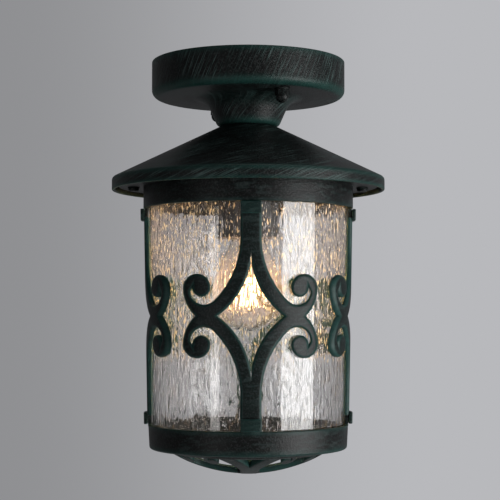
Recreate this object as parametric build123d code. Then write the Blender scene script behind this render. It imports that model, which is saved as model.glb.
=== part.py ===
from build123d import *
import os
from math import asin, atan2, cos, hypot, radians, sin, sqrt, tan

# Outdoor ceiling lantern in millimetres, +Z up, origin on the ceiling in the middle of the crossbar.
# The front strap faces -Y, the two roof screws lie on the X axis.

# Canopy: a cast cup against the ceiling, with a flared neck under it
CANOPY_RADIUS = 71.0
CANOPY_HEIGHT = 26.5
CANOPY_EDGE = 5.5
CANOPY_WALL = 2.5
NECK_TOP_RADIUS = 31.7
NECK_FLARE = 14.0
NECK_FOOT_RADIUS = 22.6
NECK_FOOT_EDGE = 4.0
NECK_DROP = 20.7
NECK_FLOOR = 4.0

# Crossbar that is screwed to the ceiling, turned as in the photograph
BAR_TURN = -65.0
BAR_LENGTH = 124.0
BAR_WIDTH = 18.0
BAR_THICKNESS = 2.5
CEILING_HOLE_SPACING = 72.0
CEILING_HOLE_RADIUS = 2.6
STUD_SPACING = 107.0
STUD_RADIUS = 2.5
STUD_ENGAGED = 7.7
THREAD_CLEARANCE = 0.1
HOLE_CLEARANCE = 0.3
SEAT_GAP = 0.1
SMALL_NUT_FLATS = 8.0
SMALL_NUT_HEIGHT = 4.0
WASHER_RADIUS = 5.5
WASHER_THICKNESS = 1.0
CAP_NUT_FLATS = 9.0
CAP_NUT_HEX_HEIGHT = 3.8
CAP_NUT_BALL_RADIUS = 4.6
CAP_NUT_ROOF = 1.5

# Terminal block under the crossbar, with its earth screw
BLOCK_LENGTH = 30.0
BLOCK_WIDTH = 16.0
BLOCK_HEIGHT = 12.0
POLE_SPACING = 10.0
BARREL_RADIUS = 2.6
BARREL_BORE = 1.5
BARREL_LENGTH = 14.0
CLAMP_SCREW_RADIUS = 1.3
CLAMP_SCREW_PLACE = 3.6
CLAMP_WELL_RADIUS = 1.7
FIX_SCREW_RADIUS = 1.5
FIX_HEAD_RADIUS = 2.6
FIX_HEAD_HEIGHT = 1.6
EARTH_PLACE = 24.0
EARTH_SCREW_RADIUS = 2.0
EARTH_HEAD_RADIUS = 3.5
EARTH_HEAD_HEIGHT = 2.4
EARTH_LUG_RADIUS = 4.0
EARTH_LUG_THICKNESS = 0.8
WIRE_RADIUS = 1.1
WIRE_OFFSET = 1.7
WIRE_LOOP_OUT = 13.0
WIRE_LOOP_DROP = 15.0
WIRE_LEAD_IN = 7.0
WIRE_LEAD_OUT = 1.0
WIRE_FAN_OUT = 7.5
EARTH_LOOP_OUT = 9.0
EARTH_LOOP_REACH = 12.0
EARTH_LEAD_IN = 7.0

# Threaded tube that hangs the roof and the lampholder from the neck
NIPPLE_RADIUS = 5.0
NIPPLE_BORE = 3.8
NIPPLE_ABOVE_FLOOR = 9.5
NIPPLE_IN_HOLDER = 8.0
BIG_NUT_FLATS = 14.0
BIG_NUT_HEIGHT = 4.0
BIG_WASHER_RADIUS = 9.5
BIG_WASHER_THICKNESS = 1.2

# Conical roof with a short upright rim
ROOF_RADIUS = 100.0
ROOF_TOP_RADIUS = 20.0
ROOF_DROP = 39.0
ROOF_RIM = 8.7
ROOF_WALL = 2.4
ROOF_TOP_PLATE = 3.5
ROOF_SHOULDER = 2.5
ROOF_LIP = 0.8

# Collar under the roof: flange, wall and the lugs that carry the straps
FLANGE_RIM_GAP = 2.6
FLANGE_THICKNESS = 2.5
FLANGE_RECESS = 2.7
FLANGE_SCREW_GAP = 2.9
FLANGE_SCREW_RADIUS = 2.0
FLANGE_SCREW_ENGAGED = 6.5
FLANGE_HEAD_RADIUS = 3.9
FLANGE_HEAD_HEIGHT = 2.2
FLANGE_WASHER_RADIUS = 4.4
FLANGE_WASHER_THICKNESS = 0.7
BOSS_RADIUS = 4.5
COLLAR_OUTSET = 0.3
COLLAR_WALL = 2.6
COLLAR_DROP = 16.0
COLLAR_LEDGE = 9.9
COLLAR_SEAM_TURN = 37.0

# Tapered cage of four scroll straps round the glass
ROOF_OVERHANG = 23.4
CAGE_NARROWING = 3.1
CAGE_HEIGHT = 157.0
STRAP_THICKNESS = 3.0
STRAP_HALF_WIDTH = 7.25
STRAP_COUNT = 4
PAD_HEIGHT = 8.6
PAD_PROUD = 2.6
LUG_HALF_WIDTH = 6.0
LUG_HEIGHT = 6.2
LUG_THICKNESS = 2.4
LUG_SET_BACK = 0.5
LUG_ROOT = 1.0
JOINT_GAP = 0.2
STRAP_SCREW_RADIUS = 1.2
STRAP_SCREW_HEAD = 2.2
STRAP_SCREW_HEAD_DEPTH = 1.1
STRAP_SCREW_BITE = 2.2

# Glass tube and its two seals
GLASS_GAP = 0.7
GLASS_WALL = 3.0
SEAL_THICKNESS = 2.0
SEAL_CLEARANCE = 0.3

# Bottom ring with its ledge, and the domed grille that sits in it
RING_SET_BACK = 0.7
RING_NARROWING = 0.9
RING_HEIGHT = 17.5
RING_WALL = 2.2
RING_EDGE = 2.0
RING_FLOOR = 3.0
RING_LEDGE_WIDTH = 13.4
GRILLE_DOME_RISE = 16.53
GRILLE_WALL = 4.0
GRILLE_SAG = 18.3
GRILLE_RIM = 3.5
GRILLE_RIM_GAP = 0.5
GRILLE_FLANGE_WIDTH = 6.5
GRILLE_FLANGE = 2.2
GRILLE_BOSS = 10.0
GRILLE_SCREW_INSET = 3.3
GRILLE_SCREW_RADIUS = 1.5
GRILLE_HEAD_RADIUS = 2.7
GRILLE_HEAD_HEIGHT = 1.8

# Scroll of the straps: places from the middle of the heart-shaped gap
SCROLL_FLARE_START = 54.0
HEART_HALF_HEIGHT = 35.3
HEART_HALF_WIDTH = 22.6
HEART_BOW = 4.0
SCROLL_SIDE_GAP = 6.37
SCROLL_THROAT_HEIGHT = 17.2
SCROLL_THROAT_RADIUS = 9.4
SCROLL_SLIT = 1.3
SCROLL_EYE_RADIUS = 6.3
SCROLL_EYE_HEIGHT = 19.5
SCROLL_CROWN_RADIUS = 9.6
WAIST_SIDE_GAP = 14.87

# Scroll of the grille: places from the middle of its rim, inwards
GRILLE_STEM_HALF = 6.2
GRILLE_FLARE_START = 30.0
GRILLE_CROTCH = 15.9
GRILLE_HEART_HALF = 15.0
GRILLE_HEART_BOW = 1.5
GRILLE_THROAT_PLACE = 23.8
GRILLE_THROAT_HEIGHT = 12.6
GRILLE_THROAT_RADIUS = 5.8
GRILLE_SLIT = 1.0
GRILLE_EYE_RADIUS = 3.6
GRILLE_EYE_HEIGHT = 13.8
GRILLE_CROWN_RADIUS = 5.6
GRILLE_WAIST = 26.0

# Lampholder
HOLDER_LIP_DROP = 129.7
HOLDER_RADIUS = 22.5
HOLDER_WALL = 2.6
SKIRT_HEIGHT = 40.0
SKIRT_LIP = 1.5
CAP_DOME = 18.0
CAP_NECK_RADIUS = 8.0
CAP_SPIGOT = 3.5
INSERT_CLEARANCE = 0.2
INSERT_FLOOR = 5.0
SHELL_RADIUS = 14.6
SHELL_WALL = 0.6
SHELL_HEIGHT = 24.0
CONTACT_LENGTH = 18.0
CONTACT_WIDTH = 5.0
CONTACT_THICKNESS = 0.6
POST_PLACE = 8.5
POST_RADIUS = 2.4
POST_HEIGHT = 1.6

# Clear filament lamp
LAMP_LENGTH = 97.0
LAMP_BALL_RADIUS = 27.5
LAMP_NECK_RADIUS = 12.2
LAMP_GLASS = 0.9
LAMP_CAP_RADIUS = 13.2
LAMP_CAP_WALL = 0.6
LAMP_CAP_HEIGHT = 26.0
LAMP_TIP_HEIGHT = 0.8
LAMP_TIP_RADIUS = 4.2
LAMP_INSULATOR_HEIGHT = 3.7
LAMP_NECK_IN_CAP = 9.0
LAMP_NECK_BELOW_CAP = 4.0
LAMP_LIGHT_CENTRE = 68.0
STEM_RADIUS = 4.0
STEM_LENGTH = 28.0
LEAD_RADIUS = 0.4
LEAD_SPREAD = 3.0
LEAD_BITE = 3.0
FILAMENT_RING = 6.5
FILAMENT_HALF_HEIGHT = 17.0
FILAMENT_LEGS = 8
FILAMENT_OPENING = 60.0
FILAMENT_BEND = 0.9
FILAMENT_RADIUS = 0.5

# Radii worked out from the sizes, inwards from the roof's rim
FLANGE_RADIUS = ROOF_RADIUS - ROOF_WALL - FLANGE_RIM_GAP
CAGE_TOP_RADIUS = ROOF_RADIUS - ROOF_OVERHANG
CAGE_BOTTOM_RADIUS = CAGE_TOP_RADIUS - CAGE_NARROWING
COLLAR_RADIUS = CAGE_TOP_RADIUS + COLLAR_OUTSET
COLLAR_MOUTH = COLLAR_RADIUS - COLLAR_LEDGE
FLANGE_SCREW_PLACE = COLLAR_RADIUS + FLANGE_WASHER_RADIUS + FLANGE_SCREW_GAP
RING_TOP_RADIUS = CAGE_BOTTOM_RADIUS - RING_SET_BACK
RING_BOTTOM_RADIUS = RING_TOP_RADIUS - RING_NARROWING
RING_MOUTH = RING_BOTTOM_RADIUS - RING_LEDGE_WIDTH
GRILLE_FLANGE_RADIUS = RING_MOUTH + GRILLE_FLANGE_WIDTH
GRILLE_SCREW_PLACE = RING_MOUTH + GRILLE_SCREW_INSET
GRILLE_RADIUS = RING_MOUTH - GRILLE_RIM_GAP
GRILLE_BALL_RADIUS = (GRILLE_RADIUS**2 + GRILLE_DOME_RISE**2) / (2 * GRILLE_DOME_RISE)
STRAP_REACH = (CAGE_TOP_RADIUS + CAGE_BOTTOM_RADIUS) / 2 * sin(radians(180 / STRAP_COUNT))
SCROLL_CROWN_END = STRAP_REACH - SCROLL_SIDE_GAP
SCROLL_EYE_INNER = SCROLL_CROWN_END - 2 * SCROLL_CROWN_RADIUS
SCROLL_THROAT_PLACE = SCROLL_EYE_INNER + 2 * SCROLL_EYE_RADIUS + SCROLL_SLIT - SCROLL_THROAT_RADIUS
SCROLL_WAIST = STRAP_REACH - WAIST_SIDE_GAP

# Levels worked out from the sizes, downwards from the ceiling
CANOPY_UNDERSIDE = -CANOPY_HEIGHT
NECK_FOOT = CANOPY_UNDERSIDE - NECK_DROP
NECK_FLOOR_TOP = NECK_FOOT + NECK_FLOOR
ROOF_SHOULDER_Z = NECK_FOOT - ROOF_DROP
ROOF_BOTTOM = ROOF_SHOULDER_Z - ROOF_RIM
ROOF_SLOPE = ROOF_DROP / (ROOF_RADIUS - ROOF_TOP_RADIUS)
FLANGE_BOTTOM = ROOF_BOTTOM + FLANGE_RECESS
FLANGE_TOP = FLANGE_BOTTOM + FLANGE_THICKNESS
CAGE_TOP = FLANGE_BOTTOM - COLLAR_DROP
CAGE_BOTTOM = CAGE_TOP - CAGE_HEIGHT
CAGE_MIDDLE = (CAGE_TOP + CAGE_BOTTOM) / 2
CAGE_TAPER = (CAGE_TOP_RADIUS - CAGE_BOTTOM_RADIUS) / CAGE_HEIGHT
RING_BOTTOM = CAGE_BOTTOM - RING_HEIGHT
RING_LEDGE = RING_BOTTOM + RING_FLOOR
GLASS_TOP = FLANGE_BOTTOM - SEAL_THICKNESS
GLASS_BOTTOM = RING_LEDGE + SEAL_THICKNESS
GRILLE_BOTTOM = RING_BOTTOM - GRILLE_SAG
GRILLE_CENTRE = GRILLE_BOTTOM + GRILLE_BALL_RADIUS
HOLDER_LIP = -HOLDER_LIP_DROP
SKIRT_TOP = HOLDER_LIP + SKIRT_HEIGHT
CAP_TOP = SKIRT_TOP + CAP_DOME
INSERT_TOP = SKIRT_TOP - CAP_SPIGOT - INSERT_CLEARANCE
INSERT_BASE = INSERT_TOP - INSERT_FLOOR
LAMP_TIP = INSERT_BASE - 4 * CONTACT_THICKNESS - SEAT_GAP
LAMP_BOTTOM = LAMP_TIP - LAMP_LENGTH
LAMP_CAP_RIM = LAMP_TIP - LAMP_CAP_HEIGHT
LAMP_NECK_TOP = LAMP_CAP_RIM + LAMP_NECK_IN_CAP
NIPPLE_TOP = NECK_FLOOR_TOP + NIPPLE_ABOVE_FLOOR
NIPPLE_BOTTOM = CAP_TOP - NIPPLE_IN_HOLDER
STUD_HOLE_RADIUS = STUD_RADIUS + HOLE_CLEARANCE
NIPPLE_HOLE_RADIUS = NIPPLE_RADIUS + HOLE_CLEARANCE


def lathe(*corners):
    """A solid turned about Z from a closed outline of (radius, height, rounding) corners."""
    points = [(radius, height) for radius, height, rounding in corners]
    outline = FilletPolyline(*points, radius=[rounding for *point, rounding in corners], close=True)
    return revolve(Plane.XZ * make_face(outline), axis=Axis.Z)


def tube(outer, inner, low, high):
    """A plain upright ring between two heights."""
    return rod(outer, low, high) - rod(inner, low, high)


def rod(radius, low, high):
    """A plain upright cylinder between two heights."""
    return Pos(0, 0, low) * Cylinder(radius, high - low, align=(Align.CENTER, Align.CENTER, Align.MIN))


def block(half_width, near, far, low, high):
    """A box across the front of the lantern, from radius near to radius far towards -Y."""
    middle = Pos(0, -(near + far) / 2, (low + high) / 2)
    return middle * Box(2 * half_width, far - near, high - low)


def hexagon(flats, low, high):
    """An upright hexagonal prism."""
    return Pos(0, 0, low) * extrude(RegularPolygon(flats / 2, 6, major_radius=False), high - low)


def around(shape, count=STRAP_COUNT, first=0.0):
    """Copies of a shape turned evenly about Z, starting from the front."""
    return [Rot(0, 0, first + 360 * index / count) * shape for index in range(count)]


def on_bar(along, across=0.0, height=0.0):
    """A place given along and across the turned crossbar."""
    return Rot(0, 0, BAR_TURN) * Pos(along, across, height)


def group(shapes):
    """Separate solids that share one node."""
    return Compound(children=[solid for shape in shapes for solid in shape.solids()])


def cage_radius(height):
    """Outer radius of the tapered cage at a height."""
    return CAGE_TOP_RADIUS - CAGE_TAPER * (CAGE_TOP - height)


def cage_shell(outset, depth, low, high):
    """Tapered shell whose outside lies outset from the cage, between two heights."""
    outer_high = cage_radius(high) + outset
    outer_low = cage_radius(low) + outset
    return lathe(
        (outer_high, high, 0), (outer_low, low, 0), (outer_low - depth, low, 0), (outer_high - depth, high, 0)
    )


# Crossbar and what is fixed to it


def crossbar():
    """Steel strip with ceiling holes, stud holes and holes for the block's and the earth screw."""
    strip = Pos(0, 0, -BAR_THICKNESS / 2) * Box(BAR_LENGTH, BAR_WIDTH, BAR_THICKNESS)
    strip = fillet(strip.edges().filter_by(Axis.Z), BAR_WIDTH / 4)
    holes = [
        (CEILING_HOLE_SPACING / 2, CEILING_HOLE_RADIUS),
        (-CEILING_HOLE_SPACING / 2, CEILING_HOLE_RADIUS),
        (STUD_SPACING / 2, STUD_RADIUS + THREAD_CLEARANCE),
        (-STUD_SPACING / 2, STUD_RADIUS + THREAD_CLEARANCE),
        (-POLE_SPACING / 2, FIX_SCREW_RADIUS + THREAD_CLEARANCE),
        (EARTH_PLACE, EARTH_SCREW_RADIUS + THREAD_CLEARANCE),
    ]
    for along, radius in holes:
        strip -= Pos(along, 0, 0) * rod(radius, -BAR_THICKNESS, 0)
    return Rot(0, 0, BAR_TURN) * strip


def stud_places():
    """Front and rear stud places."""
    return [on_bar(STUD_SPACING / 2), on_bar(-STUD_SPACING / 2)]


def canopy_studs():
    """Two threaded rods from the crossbar down through the canopy."""
    tip = CANOPY_UNDERSIDE - WASHER_THICKNESS - STUD_ENGAGED
    return group([place * rod(STUD_RADIUS, tip, -SEAT_GAP) for place in stud_places()])


def stud_nuts():
    """Nuts that lock the studs under the crossbar."""
    nut = hexagon(SMALL_NUT_FLATS, -BAR_THICKNESS - SMALL_NUT_HEIGHT, -BAR_THICKNESS)
    nut -= rod(STUD_RADIUS + THREAD_CLEARANCE, -BAR_THICKNESS - SMALL_NUT_HEIGHT, -BAR_THICKNESS)
    return group([place * nut for place in stud_places()])


def canopy_washer():
    """Flat washer between the canopy and a cap nut."""
    top = CANOPY_UNDERSIDE - SEAT_GAP
    return tube(WASHER_RADIUS, STUD_RADIUS + HOLE_CLEARANCE, top - WASHER_THICKNESS, top)


def cap_nut():
    """Hexagonal nut that ends in a ball, with a blind thread."""
    top = CANOPY_UNDERSIDE - 2 * SEAT_GAP - WASHER_THICKNESS
    hex_bottom = top - CAP_NUT_HEX_HEIGHT
    bore_end = top - STUD_ENGAGED - SEAT_GAP
    ball_centre = bore_end - CAP_NUT_ROOF + CAP_NUT_BALL_RADIUS
    ball = Pos(0, 0, ball_centre) * Sphere(CAP_NUT_BALL_RADIUS)
    below_hex = rod(2 * CAP_NUT_BALL_RADIUS, bore_end - CAP_NUT_ROOF, hex_bottom)
    nut = hexagon(CAP_NUT_FLATS, hex_bottom, top) + (ball & below_hex)
    return nut - rod(STUD_RADIUS + THREAD_CLEARANCE, bore_end, top)


def pole_places():
    """The terminal block's three poles along the bar."""
    return [on_bar(POLE_SPACING * index) for index in (-1, 0, 1)]


BLOCK_TOP = -BAR_THICKNESS
BLOCK_BOTTOM = BLOCK_TOP - BLOCK_HEIGHT
BARREL_HEIGHT = BLOCK_TOP - BLOCK_HEIGHT / 2


def barrel_rod(radius, length):
    """A cylinder across the bar at the barrels' height."""
    return Pos(0, 0, BARREL_HEIGHT) * Rot(90, 0, 0) * Cylinder(radius, length)


def terminal_block():
    """Insulating body with three barrel tunnels, clamp screw wells and a fixing hole."""
    body = Pos(0, 0, (BLOCK_TOP + BLOCK_BOTTOM) / 2) * Box(BLOCK_LENGTH, BLOCK_WIDTH, BLOCK_HEIGHT)
    body -= Pos(-POLE_SPACING / 2, 0, 0) * rod(FIX_SCREW_RADIUS + THREAD_CLEARANCE, BLOCK_BOTTOM, BLOCK_TOP)
    for index in (-1, 0, 1):
        pole = Pos(POLE_SPACING * index, 0, 0)
        body -= pole * barrel_rod(BARREL_RADIUS + THREAD_CLEARANCE, BLOCK_WIDTH)
        for side in (-1, 1):
            well = rod(CLAMP_WELL_RADIUS, BLOCK_BOTTOM, BARREL_HEIGHT)
            body -= pole * Pos(0, side * CLAMP_SCREW_PLACE, 0) * well
    return Rot(0, 0, BAR_TURN) * body


def terminal_barrels():
    """Brass barrels that clamp the wires."""
    barrel = barrel_rod(BARREL_RADIUS, BARREL_LENGTH) - barrel_rod(BARREL_BORE, BARREL_LENGTH)
    for side in (-1, 1):
        well = rod(CLAMP_SCREW_RADIUS + THREAD_CLEARANCE, BLOCK_BOTTOM, BARREL_HEIGHT)
        barrel -= Pos(0, side * CLAMP_SCREW_PLACE, 0) * well
    return group([place * barrel for place in pole_places()])


def terminal_screws():
    """Two clamp screws in each barrel."""
    screw_low = BARREL_HEIGHT - BARREL_RADIUS - 2 * CLAMP_SCREW_RADIUS
    screw = rod(CLAMP_SCREW_RADIUS, screw_low, BARREL_HEIGHT - BARREL_BORE)
    screws = [Pos(0, side * CLAMP_SCREW_PLACE, 0) * screw for side in (-1, 1)]
    return group([place * screw for place in pole_places() for screw in screws])


def terminal_fixing_screw():
    """Screw that holds the terminal block to the crossbar."""
    shank = rod(FIX_SCREW_RADIUS, BLOCK_BOTTOM, -SEAT_GAP)
    head = rod(FIX_HEAD_RADIUS, BLOCK_BOTTOM - FIX_HEAD_HEIGHT, BLOCK_BOTTOM)
    return on_bar(-POLE_SPACING / 2) * (shank + head)


def earth_lug():
    """Ring terminal between the earth screw's head and the crossbar."""
    top = -BAR_THICKNESS
    return on_bar(EARTH_PLACE) * tube(
        EARTH_LUG_RADIUS, EARTH_SCREW_RADIUS + HOLE_CLEARANCE, top - EARTH_LUG_THICKNESS, top
    )


def earth_screw():
    """Screw that bonds the earth wire to the crossbar."""
    seat = -BAR_THICKNESS - EARTH_LUG_THICKNESS
    shank = rod(EARTH_SCREW_RADIUS, seat, -SEAT_GAP)
    return on_bar(EARTH_PLACE) * (shank + rod(EARTH_HEAD_RADIUS, seat - EARTH_HEAD_HEIGHT, seat))


def wire(points):
    """An insulated wire along hand-placed points, each corner as round as its runs allow."""
    vectors = [Vector(*point) for point in points]
    runs = [after - before for before, after in zip(vectors, vectors[1:])]
    radii = []
    for before, after in zip(runs, runs[1:]):
        half_turn = radians(before.get_angle(after) / 2)
        radii.append(0.45 * min(before.length, after.length) / tan(half_turn))
    path = FilletPolyline(*points, radius=radii)
    section = Plane(origin=path @ 0, z_dir=path % 0) * Circle(WIRE_RADIUS)
    print("wire radii mm", [round(radius, 1) for radius in radii], "length mm", round(path.length, 1))
    return Rot(0, 0, BAR_TURN) * sweep(section, path=path)


def lamp_wire(side):
    """A wire from an outer barrel through the threaded tube to a lampholder post."""
    barrel_end = BARREL_LENGTH / 2
    return wire(
        [
            (side * POLE_SPACING, barrel_end, BARREL_HEIGHT),
            (side * POLE_SPACING, barrel_end + WIRE_LOOP_OUT, BARREL_HEIGHT),
            (side * POLE_SPACING * 0.6, barrel_end + WIRE_LOOP_OUT, BARREL_HEIGHT - WIRE_LOOP_DROP),
            (side * WIRE_OFFSET, 0, NIPPLE_TOP + WIRE_LEAD_IN),
            (side * WIRE_OFFSET, 0, NIPPLE_BOTTOM - WIRE_LEAD_OUT),
            (side * POST_PLACE, 0, NIPPLE_BOTTOM - WIRE_FAN_OUT),
            (side * POST_PLACE, 0, INSERT_TOP + POST_HEIGHT),
        ]
    )


def earth_wire():
    """A wire from the middle barrel to the ring terminal."""
    barrel_end = BARREL_LENGTH / 2
    lug_edge = BAR_WIDTH / 2
    lug_height = -BAR_THICKNESS - EARTH_LUG_THICKNESS - WIRE_RADIUS - SEAT_GAP
    return wire(
        [
            (0, -barrel_end, BARREL_HEIGHT),
            (0, -barrel_end - EARTH_LOOP_OUT, BARREL_HEIGHT),
            (EARTH_PLACE * 0.5, -barrel_end - EARTH_LOOP_REACH, BARREL_HEIGHT),
            (EARTH_PLACE, -lug_edge - EARTH_LEAD_IN, lug_height),
            (EARTH_PLACE, -EARTH_HEAD_RADIUS - SEAT_GAP, lug_height),
        ]
    )


# Canopy, threaded tube and roof


def canopy():
    """Cup with a rounded lower edge and a flared neck, drilled for the studs and the threaded tube."""
    neck_run = CANOPY_WALL * hypot(NECK_TOP_RADIUS - NECK_FOOT_RADIUS, NECK_DROP) / NECK_DROP
    inside = CANOPY_RADIUS - CANOPY_WALL
    floor = CANOPY_UNDERSIDE + CANOPY_WALL
    foot_inside = NECK_FOOT_RADIUS - neck_run
    shell = lathe(
        (CANOPY_RADIUS, 0, 0),
        (CANOPY_RADIUS, CANOPY_UNDERSIDE, CANOPY_EDGE),
        (NECK_TOP_RADIUS, CANOPY_UNDERSIDE, NECK_FLARE),
        (NECK_FOOT_RADIUS, NECK_FOOT, NECK_FOOT_EDGE),
        (NIPPLE_HOLE_RADIUS, NECK_FOOT, 0),
        (NIPPLE_HOLE_RADIUS, NECK_FLOOR_TOP, 0),
        (foot_inside, NECK_FLOOR_TOP, 0),
        (NECK_TOP_RADIUS - neck_run, floor, NECK_FLARE + CANOPY_WALL),
        (inside, floor, CANOPY_EDGE - CANOPY_WALL),
        (inside, 0, 0),
    )
    for place in stud_places():
        shell -= place * rod(STUD_HOLE_RADIUS, CANOPY_UNDERSIDE, floor)
    return shell


def nipple():
    """Threaded tube from the neck down to the lampholder."""
    return tube(NIPPLE_RADIUS, NIPPLE_BORE, NIPPLE_BOTTOM, NIPPLE_TOP)


ROOF_PLATE_UNDERSIDE = NECK_FOOT - ROOF_TOP_PLATE
UPPER_WASHER_TOP = NECK_FLOOR_TOP + BIG_WASHER_THICKNESS
LOWER_WASHER_BOTTOM = ROOF_PLATE_UNDERSIDE - BIG_WASHER_THICKNESS


def nipple_washers():
    """Washers on the neck's floor and under the roof's top plate."""
    bore = NIPPLE_RADIUS + HOLE_CLEARANCE
    upper = tube(BIG_WASHER_RADIUS, bore, NECK_FLOOR_TOP, UPPER_WASHER_TOP)
    lower = tube(BIG_WASHER_RADIUS, bore, LOWER_WASHER_BOTTOM, ROOF_PLATE_UNDERSIDE)
    return group([upper, lower])


def big_nut(low):
    """Thin hexagonal nut on the threaded tube."""
    high = low + BIG_NUT_HEIGHT
    return hexagon(BIG_NUT_FLATS, low, high) - rod(NIPPLE_RADIUS + THREAD_CLEARANCE, low, high)


def nipple_nuts():
    """Nuts that clamp the canopy and the roof together on the tube."""
    return group([big_nut(UPPER_WASHER_TOP), big_nut(LOWER_WASHER_BOTTOM - BIG_NUT_HEIGHT)])


def roof():
    """Conical shell with an upright rim and two screw bosses inside."""
    wall_drop = ROOF_WALL * hypot(1, ROOF_SLOPE)
    rim_inside = ROOF_RADIUS - ROOF_WALL
    inner_corner = ROOF_SHOULDER_Z + ROOF_WALL * ROOF_SLOPE - wall_drop
    plate_edge = ROOF_TOP_RADIUS + (ROOF_TOP_PLATE - wall_drop) / ROOF_SLOPE
    shell = lathe(
        (NIPPLE_HOLE_RADIUS, NECK_FOOT, 0),
        (ROOF_TOP_RADIUS, NECK_FOOT, 0),
        (ROOF_RADIUS, ROOF_SHOULDER_Z, ROOF_SHOULDER),
        (ROOF_RADIUS, ROOF_BOTTOM, ROOF_LIP),
        (rim_inside, ROOF_BOTTOM, ROOF_LIP),
        (rim_inside, inner_corner, ROOF_LIP),
        (plate_edge, ROOF_PLATE_UNDERSIDE, 0),
        (NIPPLE_HOLE_RADIUS, ROOF_PLATE_UNDERSIDE, 0),
    )
    under_cone = lathe(
        (0, NECK_FOOT, 0),
        (ROOF_TOP_RADIUS, NECK_FOOT, 0),
        (ROOF_RADIUS, ROOF_SHOULDER_Z, ROOF_SHOULDER),
        (ROOF_RADIUS, ROOF_BOTTOM, 0),
        (0, ROOF_BOTTOM, 0),
    )
    boss_low = FLANGE_TOP + SEAT_GAP
    hole_end = FLANGE_TOP + FLANGE_SCREW_ENGAGED + HOLE_CLEARANCE
    hole = rod(FLANGE_SCREW_RADIUS + THREAD_CLEARANCE, boss_low, hole_end)
    for side in (-1, 1):
        place = Pos(side * FLANGE_SCREW_PLACE, 0, 0)
        shell += place * rod(BOSS_RADIUS, boss_low, NECK_FOOT) & under_cone
        shell -= place * hole
    return shell


# Collar, straps, glass, ring and grille, which come down together


def lug(outer, low, high):
    """Tab that a strap's pad is screwed to."""
    return tube(outer, outer - LUG_THICKNESS, low, high) & block(LUG_HALF_WIDTH, 0, outer + 1, low, high)


UPPER_LUG_RADIUS = CAGE_TOP_RADIUS - LUG_SET_BACK
LOWER_LUG_RADIUS = CAGE_BOTTOM_RADIUS - LUG_SET_BACK
UPPER_SCREW_Z = CAGE_TOP - LUG_HEIGHT / 2
LOWER_SCREW_Z = CAGE_BOTTOM + LUG_HEIGHT / 2


def strap_screw(lug_radius, height, clearance=0.0):
    """Countersunk screw from inside through a lug into a strap's pad."""
    back = lug_radius - LUG_THICKNESS
    neck = back + STRAP_SCREW_HEAD_DEPTH
    tip = lug_radius + STRAP_SCREW_BITE
    radius = STRAP_SCREW_RADIUS + clearance
    outline = Polyline(
        (0, back),
        (STRAP_SCREW_HEAD + clearance, back),
        (radius, neck),
        (radius, tip + clearance),
        (0, tip + clearance),
        close=True,
    )
    turned = revolve(make_face(outline), axis=Axis.Y)
    return Pos(0, 0, height) * Rot(0, 0, 180) * turned


def collar():
    """Flange, wall and four downward lugs, with two holes for the roof screws."""
    inside = COLLAR_RADIUS - COLLAR_WALL
    body = Rot(0, 0, COLLAR_SEAM_TURN) * lathe(
        (COLLAR_MOUTH, FLANGE_TOP, 0),
        (FLANGE_RADIUS, FLANGE_TOP, 0),
        (FLANGE_RADIUS, FLANGE_BOTTOM, 0),
        (COLLAR_RADIUS, FLANGE_BOTTOM, 0),
        (COLLAR_RADIUS, CAGE_TOP, ROOF_LIP),
        (inside, CAGE_TOP, 0),
        (inside, FLANGE_BOTTOM, 0),
        (COLLAR_MOUTH, FLANGE_BOTTOM, 0),
    )
    tab = lug(UPPER_LUG_RADIUS, CAGE_TOP - LUG_HEIGHT, CAGE_TOP + LUG_ROOT + ROOF_LIP)
    for one_lug in around(tab):
        body += one_lug
    for hole in around(strap_screw(UPPER_LUG_RADIUS, UPPER_SCREW_Z, THREAD_CLEARANCE)):
        body -= hole
    for side in (-1, 1):
        body -= Pos(side * FLANGE_SCREW_PLACE, 0, 0) * rod(
            FLANGE_SCREW_RADIUS + HOLE_CLEARANCE, FLANGE_BOTTOM, FLANGE_TOP
        )
    return body


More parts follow.
